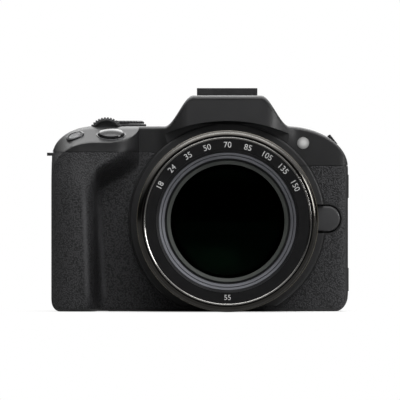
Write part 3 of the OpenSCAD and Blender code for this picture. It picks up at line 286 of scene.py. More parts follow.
def rear_face(x, z):
    """Depth of the back: a flat wall with a swell for the thumb and rounded borders."""
    thumb = thumb_bump * ease((thumb_edge_x - x) / 8)
    thumb = thumb * ease((z - thumb_span[0]) / 8) * ease((thumb_span[1] - z) / 6)
    roll = (arc_drop(x - body_left, *rear_left_roll) + arc_drop(body_right - x, *right_roll)
            + arc_drop(top_line(x) - z, *rear_top_roll) + arc_drop(z - foot_line(x), *foot_roll))
    return back_y + thumb - roll


def grid_quads(nu, nv, close_u=False, close_v=False):
    """Corner numbers of the quads of a nu by nv grid, joined round where it is closed."""
    iu = np.arange(nu if close_u else nu - 1)
    iv = np.arange(nv if close_v else nv - 1)
    a, b = np.meshgrid(iu, iv, indexing="ij")
    a1 = (a + 1) % nu
    b1 = (b + 1) % nv
    return np.stack([a * nv + b, a1 * nv + b, a1 * nv + b1, a * nv + b1], -1).reshape(-1, 4)


def new_piece(name, points, faces):
    """A mesh object from points in millimetres: doubles merged, normals outwards, hard edges kept."""
    mesh = bpy.data.meshes.new(name)
    mesh.from_pydata((np.asarray(points, float) * MM).tolist(), [], [tuple(f) for f in faces])
    tidy = bmesh.new()
    tidy.from_mesh(mesh)
    bmesh.ops.remove_doubles(tidy, verts=tidy.verts, dist=1e-7)
    bmesh.ops.dissolve_degenerate(tidy, edges=tidy.edges, dist=1e-8)
    bmesh.ops.recalc_face_normals(tidy, faces=tidy.faces)
    tidy.to_mesh(mesh)
    tidy.free()
    piece = bpy.data.objects.new(name, mesh)
    scene.collection.objects.link(piece)
    smooth_by_angle(piece, 35)
    return piece


def smooth_by_angle(piece, crease):
    """Smooth shading with edges sharper than the crease angle kept hard."""
    mesh = piece.data
    mesh.polygons.foreach_set("use_smooth", np.ones(len(mesh.polygons), bool))
    mesh.set_sharp_from_angle(angle=math.radians(crease))


def crowd(count, share):
    """Steps from 0 to 1 that crowd towards both ends: a mix of even steps and a cosine."""
    t = np.linspace(0, 1, count)
    return (1 - share) * t + share * (1 - np.cos(np.pi * t)) / 2


def form_points(columns, rows):
    """Front sheet, top and bottom strips and rear sheet of the form as one grid wrapped round in depth."""
    x = columns[:, None]
    low = foot_line(x)
    z = low + (top_line(x) - low) * rows[None, :]
    x = np.broadcast_to(x, z.shape)
    front = np.stack([x, front_face(x, z), z], -1)
    back = np.stack([x, rear_face(x, z), z], -1)
    return np.concatenate([front, back[:, ::-1]], axis=1)


def body_form(name, shift=(0, 0, 0), columns=330, rows=170):
    """The whole outer form as a closed solid; the two ends are closed by joining front and rear points."""
    x = body_left + (body_right - body_left) * crowd(columns, 0.55)
    ridge = shelf_end_x - 3 * np.linspace(0, 1, 24) ** 2
    flank = 2.5 * np.linspace(-1, 1, 49) * np.abs(np.linspace(-1, 1, 49))
    x = np.unique(np.concatenate([x, ridge, grip_flank_x + flank]).round(4))
    grid = form_points(x, crowd(rows, 0.6))
    nu, nv = grid.shape[:2]
    faces = list(grid_quads(nu, nv, close_v=True))
    half = nv // 2
    j = np.arange(half - 1)
    for start in (0, (nu - 1) * nv):
        faces += list(np.stack([start + j, start + j + 1, start + nv - 2 - j, start + nv - 1 - j], -1))
    return new_piece(name, grid.reshape(-1, 3) + np.array(shift, float), faces)


def prism(name, outline, low, high, axis="y"):
    """A closed solid: an outline in the two other axes carried straight along an axis from low to high."""
    outline = np.asarray(outline, float)
    count = len(outline)
    place = {"x": 0, "y": 1, "z": 2}[axis]
    points = np.concatenate([np.insert(outline, place, low, axis=1), np.insert(outline, place, high, axis=1)])
    caps = [tuple(range(count)), tuple(range(2 * count - 1, count - 1, -1))]
    return new_piece(name, points, list(grid_quads(2, count, close_v=True)) + caps)


def block(name, low, high):
    """A closed box between two corners."""
    (x0, y0, z0), (x1, y1, z1) = low, high
    return prism(name, [(x0, z0), (x1, z0), (x1, z1), (x0, z1)], y0, y1)


def circle(centre, r, count=96):
    """Points round a circle in the plane."""
    a = np.linspace(0, 2 * np.pi, count, endpoint=False)
    return np.stack([centre[0] + r * np.cos(a), centre[1] + r * np.sin(a)], -1)


def round_rect(low, high, r, steps=10):
    """Outline of a rectangle with quarter-circle corners."""
    a = np.linspace(0, np.pi / 2, steps)
    quarter = np.stack([np.cos(a), np.sin(a)], -1) * r
    turns = [quarter, quarter[:, ::-1] * (-1, 1), -quarter, quarter[:, ::-1] * (1, -1)]
    corners = [(high[0] - r, high[1] - r), (low[0] + r, high[1] - r), (low[0] + r, low[1] + r),
               (high[0] - r, low[1] + r)]
    return np.concatenate([np.array(c) + t for c, t in zip(corners, turns)])


def carve(piece, tool, how="DIFFERENCE"):
    """Cuts a closed piece with a closed tool, joins them or keeps what they share, and drops the tool."""
    step = piece.modifiers.new("carve", "BOOLEAN")
    step.operation = how
    step.solver = "MANIFOLD"
    step.object = tool
    ready = piece.evaluated_get(bpy.context.evaluated_depsgraph_get())
    mesh = bpy.data.meshes.new_from_object(ready)
    piece.modifiers.clear()
    old = piece.data
    piece.data = mesh
    bpy.data.meshes.remove(old)
    bpy.data.objects.remove(tool)
    return piece


def copy_of(piece, name):
    """A second object with its own copy of a piece's mesh."""
    twin = bpy.data.objects.new(name, piece.data.copy())
    scene.collection.objects.link(twin)
    return twin


far = 300.0
seam_half = 0.11
seam_depth = 0.4
split_y = 3.0
base_t = node_mm("base_plate")[1][2]
boss_r = axis_h + 3
form = body_form("form")


def merged(tools):
    """Several closed tools joined into the first one."""
    first = tools[0]
    for tool in tools[1:]:
        carve(first, tool, "UNION")
    return first


def above_seams(shift):
    """Everything above the stepped seam of the top cover, moved up by a shift."""
    step = [(-far, grip_seam_h), (seam_step_x, grip_seam_h), (seam_step_x, far_seam_h), (far, far_seam_h),
            (far, far), (-far, far)]
    return prism("above_seams", np.array(step) + (0, shift), -far, far)


def seam_grooves():
    """Thin grooves along the seams of the four covers: strips less the form drawn in by their depth."""
    d = seam_depth
    core = body_form("core", (d, d, 0), 200, 110)
    carve(core, body_form("core_left", (-d, d, 0), 200, 110), "INTERSECT")
    carve(core, body_form("core_back", (0, -d, 0), 200, 110), "INTERSECT")
    strips = carve(above_seams(-seam_half), above_seams(seam_half))
    half = seam_half
    others = [block("split_strip", (-far, split_y - half, -far), (far, split_y + half, far_seam_h)),
              block("base_strip", (-far, split_y, base_t - half), (far, far, base_t + half))]
    for strip in others:
        carve(strips, strip, "UNION")
    return carve(strips, core)


def rod(name, centre, r, y0, y1):
    """A cylinder along the depth axis at a place given by x and z."""
    return prism(name, circle(centre, r), y0, y1)


def room(node, grow):
    """A box a little larger than a frame node."""
    low, high = node_mm(node)
    return block("room_" + node, low - grow, high + grow)


def spun(name, profile, origin, axis, sides=144, ribs=None):
    """A closed profile of radius and height turned about an axis through the origin point.

    With ribs, given as count, depth and a weight for each profile point, the radius of a point shrinks
    by depth times weight between flat-topped teeth.
    """
    profile = np.asarray(profile, float)
    axis = np.asarray(axis, float) / np.linalg.norm(axis)
    side = np.cross(axis, (0, 0, 1.0) if abs(axis[2]) < 0.9 else (0, 1.0, 0))
    side = side / np.linalg.norm(side)
    up = np.cross(axis, side)
    a = np.linspace(0, 2 * np.pi, sides, endpoint=False)[:, None]
    r = np.broadcast_to(profile[None, :, 0], (sides, len(profile)))
    if ribs:
        count, depth, weight = ribs
        tooth = np.abs((a * count / (2 * np.pi)) % 1 - 0.5) * 2
        r = r - depth * np.asarray(weight)[None, :] * ease((tooth - 0.45) / 0.3)
    points = (np.asarray(origin, float) + (r * np.cos(a))[..., None] * side + (r * np.sin(a))[..., None] * up
              + np.broadcast_to(profile[None, :, 1], r.shape)[..., None] * axis)
    return new_piece(name, points.reshape(-1, 3), grid_quads(sides, len(profile), True, True))


def fillet(profile, radius, steps=5):
    """A closed outline with corners replaced by parabolic arcs that start a radius before each corner."""
    p = np.asarray(profile, float)
    before = np.roll(p, 1, 0) - p
    after = np.roll(p, -1, 0) - p
    len_before = np.linalg.norm(before, axis=1, keepdims=True)
    len_after = np.linalg.norm(after, axis=1, keepdims=True)
    reach = np.broadcast_to(np.asarray(radius, float).reshape(-1, 1), (len(p), 1))
    reach = np.minimum(reach, 0.49 * np.minimum(len_before, len_after))
    a = (p + before / len_before * reach)[:, None]
    b = (p + after / len_after * reach)[:, None]
    t = np.linspace(0, 1, steps)[None, :, None]
    return ((1 - t) ** 2 * a + 2 * t * (1 - t) * p[:, None] + t * t * b).reshape(-1, 2)


# Front cover
# The front half of the body, black glass-filled nylon with a fine spark-eroded grain. It carries the raised
# disc round the lens mount, and the textured skins lie in shallow beds in it.
def finish(name):
    """A new procedural material with its node tree, its shader and its object coordinates."""
    paint = bpy.data.materials.new(name)
    paint.use_nodes = True
    made = paint.node_tree
    return paint, made, made.nodes["Principled BSDF"], shade(made, "TexCoord", give="Object")


def noise(made, coords, size, detail=3.0):
    """Cloudy noise whose features are about size millimetres across."""
    return shade(made, "TexNoise", coords, Scale=1 / (size * MM), Detail=detail)


def spread(made, value, low, high):
    """A value between 0.3 and 0.7 stretched over a range."""
    return shade(made, "MapRange", value, From_Min=0.3, From_Max=0.7, To_Min=low, To_Max=high)


def blend(made, share, first, second):
    """A colour between two colours by a share."""
    return shade(made, "Mix", share, *[None] * 5, first, second, data_type="RGBA", give=2)


def tint(made, value, dark, light):
    """A colour between two, chosen by a value."""
    return blend(made, spread(made, value, 0, 1), (*dark, 1), (*light, 1))


def relief(made, shader, value, depth):
    """Bump of a depth in millimetres from a value."""
    feed(shader, Normal=shade(made, "Bump", Height=value, Strength=1.0, Distance=depth * MM))


def moulded(name, dark, light, rough, grain, depth, metal=0.0, level=0.4):
    """Moulded plastic or cast metal: cloudy tone, grain in roughness and bump."""
    paint, made, shader, coords = finish(name)
    fine = noise(made, coords, grain, 2.0)
    feed(shader, Base_Color=tint(made, noise(made, coords, 9.0), dark, light),
         Roughness=spread(made, fine, rough - 0.05, rough + 0.05), Metallic=metal, Specular_IOR_Level=level)
    relief(made, shader, fine, depth)
    return paint


def dressed(piece, paint, body, slot, *stands_for):
    """Gives a piece its material and its body, and hides the frame nodes that it stands for. The slot is not
    used.
    """
    piece.data.materials.clear()
    piece.data.materials.append(paint)
    smooth_by_angle(piece, 32)
    if stands_for:
        piece.name = stands_for[0] + "_form"
    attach(piece, body)
    if stands_for:
        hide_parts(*stands_for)
    return piece


black_moulding = moulded("black_moulding", (0.014, 0.014, 0.0145), (0.018, 0.018, 0.0185), 0.44, 0.22, 0.012)
skin_t = 0.9
skin_inner_x = 10.0
release_low, release_high = node_mm("release_button")


def release_outline(grow):
    """A tongue lying across: a half circle outside and straight edges that run in under the lens."""
    half = (release_high[2] - release_low[2]) / 2 + grow
    bow = np.linspace(-np.pi / 2, np.pi / 2, 33)
    mid = (release_high[0] + grow - half, (release_high[2] + release_low[2]) / 2)
    inner = release_low[0] - 0.3 - grow
    arc = np.column_stack([mid[0] + half * np.cos(bow), mid[1] + half * np.sin(bow)])
    return np.concatenate([[(inner, mid[1] - half)], arc, [(inner, mid[1] + half)]])


def front_bed(shift):
    """The region of both front skins: below the seams and outside the disc round the lens mount."""
    left = block("bed_left", (-far, -far, base_t), (-skin_inner_x, split_y - 0.3, grip_seam_h - 0.1))
    right = block("bed_right", (skin_inner_x, -far, base_t), (body_right - 1.2, 0, far_seam_h - 0.1))
    carve(left, right, "UNION")
    carve(left, rod("bed_boss", (0, axis_h), boss_r + shift, -far, far))
    carve(left, prism("bed_release", release_outline(0.9), -far, far))
    return left


def sunk_form(depth, side):
    """The form moved inwards by a depth and pinched by a margin on both ends."""
    near = body_form("sunk_near", (side, depth, 0), 200, 110)
    return carve(near, body_form("sunk_far", (-side, depth, 0), 200, 110), "INTERSECT")


def inner_rooms():
    """One tool for the hollows that hold the frame, boards, battery, card and viewfinder."""
    rooms = [room(name, 0.4) for name in ("chassis", "main_board", "battery", "card_slot", "viewfinder_unit")]
    low, high = node_mm("flash_capacitor")
    rooms.append(prism("room_capacitor", circle((low + high)[:2] / 2, 4.6), base_t - 1, high[2] + 0.5, "z"))
    low, high = node_mm("battery")
    rooms.append(block("bay_mouth", (low[0] - 0.4, low[1] - 0.4, -1), (high[0] + 0.4, high[1] + 0.4, 10)))
    low, high = node_mm("card_slot")
    rooms.append(block("card_mouth", (low[0] + 0.6, low[1] + 0.6, -1),
                       (high[0] - 0.6, high[1] - 0.6, low[2] + 1)))
    return merged(rooms)


def socket_recess(node):
    """The shallow bed of a side cover, with room for its edge to turn."""
    low, high = node_mm(node)
    outwards = np.array([2.0, 0, 0])
    low = low - 0.25 - (outwards if low[0] < 0 else 0)
    high = high + 0.25 + (outwards if high[0] > 0 else 0)
    return block("recess_" + node, low, high)


left_lug_z = grip_seam_h - 0.8
right_lug_x = body_right - 5.6
lug_pocket_r = 3.1
lug_half = 5.7


def lug_pockets():
    """Round pockets behind the two strap lugs, for the webbing."""
    left = rod("lug_left", (body_left, left_lug_z), lug_pocket_r, -lug_half, lug_half)
    right = rod("lug_right", (right_lug_x, float(top_line(right_lug_x))), lug_pocket_r, -lug_half, lug_half)
    return carve(left, right, "UNION")


throat_r = 28.0
boss_profile = fillet([(throat_r, 0), (throat_r, 6.5), (boss_r - 0.15, 6.5), (boss_r - 0.15, 0)],
                      (0, 0.3, 0.9, 0))
front_cover = copy_of(form, "front_cover")
carve(front_cover, above_seams(0))
skin_bed = carve(front_bed(0.25), sunk_form(skin_t, 0.5))
carve(front_cover, skin_bed)
carve(front_cover, spun("boss", boss_profile, (0, front_y + 3, axis_h), (0, -1, 0), 240), "UNION")
front_cuts = [block("behind", (-far, split_y, -far), (far, far, far)),
              block("below", (-far, -far, -far), (far, far, base_t)),
              rod("throat", (0, axis_h), throat_r, -far, -11),
              prism("release_well", release_outline(0.3), -far, -11.8),
              socket_recess("usb_cover"), socket_recess("microphone_cover")]
carve(front_cover, merged(front_cuts))
carve(front_cover, inner_rooms())
carve(front_cover, lug_pockets())
grooves = seam_grooves()
carve(front_cover, copy_of(grooves, "groove"))
dressed(front_cover, black_moulding, "body", "body_plastic", "front_cover")

# Front and grip skins
# Soft elastomer sheets with a stippled leather grain, bonded into the beds of the front cover. They wrap the
# grip from the side seam round its nose and reach the disc round the lens mount.


# Shares for painted sheen: pale lines painted where the grip's edges would catch the light.
def sheen_share(made, coords, line, span):
    """A share that is 1 on an upright line x = a + b z and falls to 0 at a distance, between two heights."""
    start, lean, reach = line
    height = shade(made, "SeparateXYZ", coords, give=2)
    away = shade(made, "VectorMath", coords, (1, 0, -lean), operation="DOT_PRODUCT", give="Value")
    side = shade(made, "Math", away, start * MM, operation="SUBTRACT")
    flat = shade(made, "Math", side, operation="ABSOLUTE")
    peak = shade(made, "MapRange", flat, From_Max=reach * MM, To_Min=1.0, To_Max=0.0,
                 interpolation_type="SMOOTHSTEP")
    low = shade(made, "MapRange", height, From_Min=span[0] * MM, From_Max=(span[0] + 6) * MM)
    high = shade(made, "MapRange", height, From_Min=(span[1] - 12) * MM, From_Max=span[1] * MM,
                 To_Min=1.0, To_Max=0.0)
    both = shade(made, "Math", low, high, operation="MULTIPLY")
    return shade(made, "Math", both, peak, operation="MULTIPLY")


def pebbled(name, lines=()):
    """Leather-grain elastomer: rounded cells of one pebble size, broken up by noise, darker in the furrows.

    Along the lines the grain is painted paler: a painted sheen where the grip's curved edges would catch the
    light.
    """
    paint, made, shader, coords = finish(name)
    stir = shade(made, "TexNoise", coords, Scale=1 / (1.2 * MM), Detail=2.0, give="Color")
    warp = shade(made, "Mix", 0.0003, None, None, None, coords, stir, data_type="VECTOR", give=1)
    cells = shade(made, "TexVoronoi", warp, Scale=1 / (pebble_w * MM), feature="SMOOTH_F1", Smoothness=0.35,
                  give="Distance")
    dome = shade(made, "MapRange", cells, From_Min=0.2, From_Max=0.85, To_Min=1.0, To_Max=0.0)
    colour = tint(made, dome, (0.015, 0.015, 0.0155), (0.034, 0.034, 0.0355))
    # Painted sheen: the grain is lightened along each line.
    for *line, pale in lines:
        colour = blend(made, sheen_share(made, coords, line, sheen_span), colour, (*pale, 1))
    feed(shader, Base_Color=colour, Roughness=spread(made, noise(made, coords, 3.0), 0.5, 0.6),
         Specular_IOR_Level=0.15)
    relief(made, shader, dome, 0.16)
    return paint


pebble_w = 0.55
sheen_span = (2, 52)
skin_leather = pebbled("skin_leather")
# Two lines of painted sheen along the edges of the groove beside the grip's nose.
groove_sheen_lines = [(-53.4, -0.035, 1.5, (0.052, 0.052, 0.054)), (-47.0, -0.06, 1.7, (0.044, 0.044, 0.046))]
grip_leather = pebbled("grip_leather", groove_sheen_lines)
skins = carve(copy_of(form, "skins"), front_bed(0.35), "INTERSECT")
carve(skins, sunk_form(skin_t, 0.5))
carve(skins, merged([socket_recess("usb_cover"), lug_pockets()]))
grip_skin = carve(copy_of(skins, "grip_skin"), block("left_half", (-far, -far, -far), (0, far, far)),
                  "INTERSECT")
front_skin = carve(skins, block("right_half", (0, -far, -far), (far, far, far)), "INTERSECT")
dressed(grip_skin, grip_leather, "body", "skin", "grip_skin")
dressed(front_skin, skin_leather, "body", "skin", "front_skin")

# Top cover
# One moulding with the shoulders, the shelf of the shutter button, the hood of the main dial and the hump
# that holds the viewfinder and the flash. Wells are cut for the controls, the flash bay and the shoe.
top_moulding = moulded("top_moulding", (0.014, 0.014, 0.0145), (0.018, 0.018, 0.0185), 0.42, 0.22, 0.012)
finder_half_w = 19.0
finder_low_z = far_seam_h + 2
finder_back = node_mm("eyecup")[0][1]
flash_half_w = 20.4
flash_back_y = front_y + 8.5
flash_t = 1.6
flash_low = node_mm("flash_cover")[0]
flash_axis = (-7.1, 81.7)
head_half = 15.0
knuckle_half = 12.0
flash_gap = 0.3
shoe_bed_low, shoe_bed_high = (-11.7, -4.35), (11.7, 13.75)
tilt_axis = np.array([0, -math.sin(shelf_tilt), math.cos(shelf_tilt)])
shutter_run = 9.5
shutter_at = np.array([middle_of("shutter_button")[0], plateau_back_y - shutter_run,
                       shoulder_h - shutter_run * math.tan(shelf_tilt)])
shutter_r = 4.8
shutter_gap = 0.35
movie_run = 7.2
movie_lean = math.radians(20)
movie_x = body_left + 9.1
movie_at = np.array([movie_x, plateau_back_y - movie_run,
                     float(top_line(movie_x)) - movie_run * math.tan(shelf_tilt)])
movie_axis = np.array([-math.sin(movie_lean) * tilt_axis[2], tilt_axis[1],
                       math.cos(movie_lean) * tilt_axis[2]])
movie_r = 2.6
movie_gap = 0.3
dial_low, dial_high = node_mm("main_dial")
dial_mid = middle_of("main_dial")
dial_r = radius_of("main_dial")
mode_mid = middle_of("mode_dial")
mode_high = node_mm("mode_dial")[1]
button_r = 2.5
hood_r = (6.1, 5.3)
notch_r = 1.15
notch_half = 2.3
notch_x = 19.7
brow_r = 60.0
brow_top = hump_h - 9.8
brow_back_y = -17.5


def button_well(node):
    """The bore in a cover for a round button, open to the rear."""
    return rod("well_" + node, middle_of(node)[[0, 2]], button_r + 0.25, 10, far)


def turned_well(name, r, low, high, at, axis, sides):
    """A round bore about a tilted axis, between two heights along it."""
    return spun(name, [(0, low), (r, low), (r, high), (0, high)], at, axis, sides)


def hump_band(grow):
    """The band under the hump's outline that the flash lid takes up, as far back as its hinge."""
    x = (flash_half_w + grow) * np.linspace(-1, 1, 81)
    outer = np.stack([x, top_line(x) + 3], -1)
    inner = np.stack([x, top_line(x) - flash_t - grow], -1)[::-1]
    return prism("hump_band", np.concatenate([outer, inner]), -far, flash_back_y + grow)


def finder_box():
    """The hump carried back to the eyepiece, its outline just under the body's own, with soft rear edges."""
    x = finder_half_w * np.linspace(-1, 1, 81)
    arch = np.stack([x, top_line(x) - 0.02], -1)[::-1]
    foot = np.array([(-finder_half_w, finder_low_z), (finder_half_w, finder_low_z)])
    return soft_prism("finder_box", np.concatenate([foot, arch]), 2, finder_back, 1.2)


def soft_prism(name, outline, low, high, edge, axis="y", ends=(0, 1)):
    """A closed prism whose end edges are rounded: rings of the outline, drawn in along its normals by one
    minus the cosine of a quarter turn while the height grows by its sine."""
    p = np.asarray(outline, float)
    along = np.roll(p, -1, 0) - np.roll(p, 1, 0)
    out = np.stack([along[:, 1], -along[:, 0]], -1)
    out = out / np.maximum(np.linalg.norm(out, axis=1, keepdims=True), 1e-9)
    area = np.sum(p[:, 0] * np.roll(p[:, 1], -1) - p[:, 1] * np.roll(p[:, 0], -1))
    out = out * np.sign(area)
    turn = np.linspace(0, np.pi / 2, 5)
    inset_low = edge * (1 - np.sin(turn)) if 0 in ends else np.zeros(1)
    rise_low = edge * (1 - np.cos(turn)) if 0 in ends else np.zeros(1)
    inset_high = edge * (1 - np.cos(turn)) if 1 in ends else np.zeros(1)
    rise_high = edge * (1 - np.sin(turn)) if 1 in ends else np.zeros(1)
    inset = np.concatenate([inset_low, inset_high])
    level = np.concatenate([low + rise_low, high - rise_high])
    flat = p[None] - out[None] * inset[:, None, None]
    place = {"x": 0, "y": 1, "z": 2}[axis]
    points = np.insert(flat, place, np.broadcast_to(level[:, None], flat.shape[:2]), axis=2)
    rings, count = flat.shape[:2]
    faces = list(grid_quads(rings, count, close_v=True))
    faces += [tuple(range(count)), tuple(range((rings - 1) * count, rings * count))]
    return new_piece(name, points.reshape(-1, 3), faces)


def dial_hood():
    """An arched lip in front of the main dial: a ring sector of two radii about the dial's axis."""
    a = np.linspace(math.radians(20), math.radians(160), 40)
    arc = np.stack([np.cos(a), np.sin(a)], -1)
    outline = np.concatenate([hood_r[0] * arc, hood_r[1] * arc[::-1]]) + (dial_mid[0], dial_mid[2])
    return soft_prism("dial_hood", outline, dial_low[1] - 1.9, dial_low[1] - 0.3, 0.25)


def finger_notch(side):
    """A small scoop at the end of the flash lid, an ellipsoid-like turned shape, for a fingertip."""
    half_turn = np.linspace(0, np.pi, 13)
    profile = np.stack([notch_r * np.sin(half_turn), -notch_half * np.cos(half_turn)], -1)
    x = side * notch_x
    return spun("finger_notch", np.concatenate([profile, [(0, notch_half), (0, -notch_half)]]),
                (x, -20.2, float(top_line(x)) + 0.1), (side * 0.55, 0, -0.83), 32)


def brow_recess():
    """The hollow under the hump's brow: a wide arch over the lens, cut back from the hump's face."""
    a = np.linspace(math.radians(60), math.radians(120), 90)
    arch = np.stack([brow_r * np.cos(a), brow_top - brow_r + brow_r * np.sin(a)], -1)
    foot = [(-brow_r / 2, far_seam_h - 1), (brow_r / 2, far_seam_h - 1)]
    return prism("brow", np.concatenate([arch, foot]), -far, brow_back_y)


top_cover = copy_of(form, "top_cover")
carve(top_cover, finder_box(), "UNION")
finder_seat = block("finder_seat", (-finder_half_w - 1, 11, finder_low_z - 2), (finder_half_w + 1, far, far))
carve(top_cover, carve(above_seams(0), finder_seat, "UNION"), "INTERSECT")
carve(top_cover, dial_hood(), "UNION")
top_cuts = [rod("mount_arch", (0, axis_h), boss_r, -far, -11.6), brow_recess(),
            block("behind_screen", (-far, 11.9, -far), (far, back_y + 0.5, finder_low_z)),
            prism("shoe_bed", round_rect(shoe_bed_low, shoe_bed_high, 0.2), hump_h - 0.95, far, "z"),
            room("flash_window", 1.6)]
carve(top_cover, merged(top_cuts))
carve(top_cover, inner_rooms())
carve(top_cover, hump_band(0.14))
flash_bay = [block("flash_bay", (-head_half - flash_gap, -21.1, flash_low[2] - 0.5),
                   (head_half + flash_gap, -8.4, far)),
             prism("knuckle_bay", circle(flash_axis, 1.5), -knuckle_half - flash_gap,
                   knuckle_half + flash_gap, "x")]
carve(top_cover, merged(flash_bay))
turned_wells = [turned_well("shutter_well", shutter_r + shutter_gap, -7, 6, shutter_at, tilt_axis, 96),
                turned_well("movie_well", movie_r + movie_gap, -5, 5, movie_at, movie_axis, 64)]
for well in turned_wells:
    carve(top_cover, well)
dial_slot = rod("dial_slot", (dial_mid[0], dial_mid[2]), dial_r + 0.5, dial_low[1] - 0.3, dial_high[1] + 0.3)
dial_gap = block("dial_gap", (dial_mid[0] - dial_r - 0.5, dial_low[1] - 0.3, dial_mid[2]),
                 (dial_mid[0] + dial_r + 0.5, dial_high[1] + 0.3, far))
carve(top_cover, carve(dial_slot, dial_gap, "UNION"))
carve(top_cover, prism("mode_well", circle(mode_mid[:2], 3.3), shoulder_h - 6, far, "z"))
eye_low, eye_high = (corner[[0, 2]] for corner in node_mm("eyepiece_lens"))
lamp_mid = middle_of("focus_lamp")
button_wells = [button_well("menu_button"), button_well("lock_button"),
                prism("eye_window", round_rect(eye_low - 0.2, eye_high + 0.2, 3), 20, far),
                rod("diopter_well", middle_of("diopter_dial")[[0, 2]], 2.4, 25.8, far),
                rod("lamp_well", lamp_mid[[0, 2]], 2.42, -18, -13.3)]
carve(top_cover, merged(button_wells))
carve(top_cover, lug_pockets())
carve(top_cover, copy_of(grooves, "groove"))
for side in (-1, 1):
    carve(top_cover, finger_notch(side))
dressed(top_cover, top_moulding, "body", "body_plastic", "top_cover")

# Rear cover and thumb skin
# The back half, with the bed of the hinged screen, the wells of the rear buttons and a pad of the same
# leather-grain elastomer where the thumb rests.
screen_low, screen_high = node_mm("screen_shell")
hinge_x = body_right - 1.2
hinge_y = back_y + 1.4
thumb_low, thumb_high, thumb_r = np.array([body_left + 4.4, 41.2]), np.array([-41.4, 59.7]), 5.0
thumb_gap = 0.15
rear_cover = copy_of(form, "rear_cover")
carve(rear_cover, above_seams(0))
thumb_bed = carve(prism("thumb_bed", round_rect(thumb_low, thumb_high, thumb_r), 8, 40),
                  body_form("sunk_back", (0, -skin_t, 0), 200, 110))
carve(rear_cover, thumb_bed)
rear_cuts = [block("ahead", (-far, -far, -far), (far, split_y, far)),
             block("below", (-far, -far, -far), (far, far, base_t)),
             block("screen_bed", (screen_low[0] - 0.25, screen_low[1] - 0.25, screen_low[2] - 0.25),
                   (far, far, screen_high[2] + 0.25)),
             prism("hinge_bed", circle((hinge_x, hinge_y), 2.2), 0, far, "z"),
             socket_recess("usb_cover"), socket_recess("microphone_cover")]
pad_mid = middle_of("direction_pad")
pad_r = radius_of("direction_pad")
rear_wells = [rod("pad_well", pad_mid[[0, 2]], pad_r + 0.25, 12, far), button_well("info_button"),
              button_well("playback_button")]
carve(rear_cover, merged(rear_cuts))
carve(rear_cover, merged(rear_wells))
carve(rear_cover, inner_rooms())
carve(rear_cover, lug_pockets())
carve(rear_cover, copy_of(grooves, "groove"))
dressed(rear_cover, black_moulding, "body", "body_plastic", "rear_cover")
thumb_trim = round_rect(thumb_low + thumb_gap, thumb_high - thumb_gap, thumb_r - thumb_gap)
thumb_skin = carve(copy_of(form, "thumb_skin"), prism("thumb_room", thumb_trim, 8, 40), "INTERSECT")
carve(thumb_skin, body_form("sunk_back", (0, -skin_t, 0), 200, 110))
dressed(thumb_skin, skin_leather, "body", "skin", "thumb_skin")

# Base plate
# A flat plate screwed under the body, with the mouth of the battery bay, the socket for a tripod screw and
# four countersunk screws. Its front edge carries the grain of the skins above a narrow smooth foot.
door_low, door_high = node_mm("battery_door")
door_axis_x = door_high[0] - (door_high[2] - door_low[2]) / 2
door_knuckle_r = 1.3
door_side_x = door_axis_x - door_knuckle_r
door_mid_y = (door_low[1] + door_high[1]) / 2
door_leaf = 8.0
door_gap = 0.3


def door_outline(grow):
    """The door's outline from below: a rectangle with a front corner stepped back beside the grip, grown."""
    return [(door_low[0] - grow, door_low[1] - grow), (grip_flank_x - 0.2 + grow, door_low[1] - grow),
            (grip_flank_x + 1.2 + grow, front_y - 1 - grow / 2), (door_side_x + grow, front_y + 2.2 - grow),
            (door_side_x + grow, door_high[1] + grow), (door_low[0] - grow, door_high[1] + grow)]


base_plate = copy_of(form, "base_plate")
base_cuts = [block("above", (-far, -far, base_t), (far, far, far)),
             prism("door_room", door_outline(door_gap), -1, far, "z"),
             block("leaf_room", (door_side_x, door_mid_y - door_leaf - door_gap, -1),
                   (door_axis_x + door_knuckle_r, door_mid_y + door_leaf + door_gap, far)),
             prism("socket_hole", circle((0, 0), 6.05), -1, far, "z")]
carve(base_plate, merged(base_cuts))
base_screws = [(36, 8), (36, -8), (-30, 9), (-36, -10)]
carve(base_plate, merged([prism("screw_seat", circle(at, 1.7, 32), -1, far, "z") for at in base_screws]))
dressed(base_plate, black_moulding, "body", "body_plastic", "base_plate")
carve(base_plate, grooves)
foot_h = 1.0
base_plate.data.materials.clear()
base_plate.data.materials.append(black_moulding)
base_plate.data.materials.append(skin_leather)
for face in base_plate.data.polygons:
    front_band = face.center.y < (split_y - 1) * MM and face.center.z > foot_h * MM
    face.material_index = int(front_band and abs(face.normal.z) < 0.7)
bpy.data.objects.remove(form)

# Lens mount, frame and inner works
# A plated steel bayonet ring with four screws and gold contacts in front of a die-cast frame, which carries
# the shutter, the sensor and the boards. The battery and the card stand in the grip.


def dress(names, paint, bevel=0.0):
    """Gives frame nodes a material and, where wanted, a small rounding of their edges."""
    for name in names:
        node = nodes[name]
        node.data.materials.clear()
        node.data.materials.append(paint)
        if bevel:
            node.modifiers.new("weld", "WELD").merge_threshold = 1e-6
            soft = node.modifiers.new("soft_edges", "BEVEL")
            soft.width = bevel * MM
            soft.segments = 3
            soft.angle_limit = math.radians(40)
            soft.harden_normals = True


def turned(name, dark, light, rough, ring_mm, metal=1.0, level=0.3):
    """Lathe-turned metal or anodising: fine rings round the lens axis in roughness and bump."""
    paint, made, shader, coords = finish(name)
    centre = shade(made, "Mapping", coords, Location=(0, 0, -axis_h * MM), Scale=(1, 0, 1))
    radius = shade(made, "VectorMath", centre, operation="LENGTH", give="Value")
    rings = shade(made, "TexNoise", noise_dimensions="1D", W=radius, Scale=1 / (ring_mm * MM), Detail=2.0)
    feed(shader, Base_Color=tint(made, noise(made, coords, 6.0), dark, light),
         Roughness=spread(made, rings, rough - 0.06, rough + 0.06), Metallic=metal, Specular_IOR_Level=level)
    relief(made, shader, rings, 0.004)
    return paint


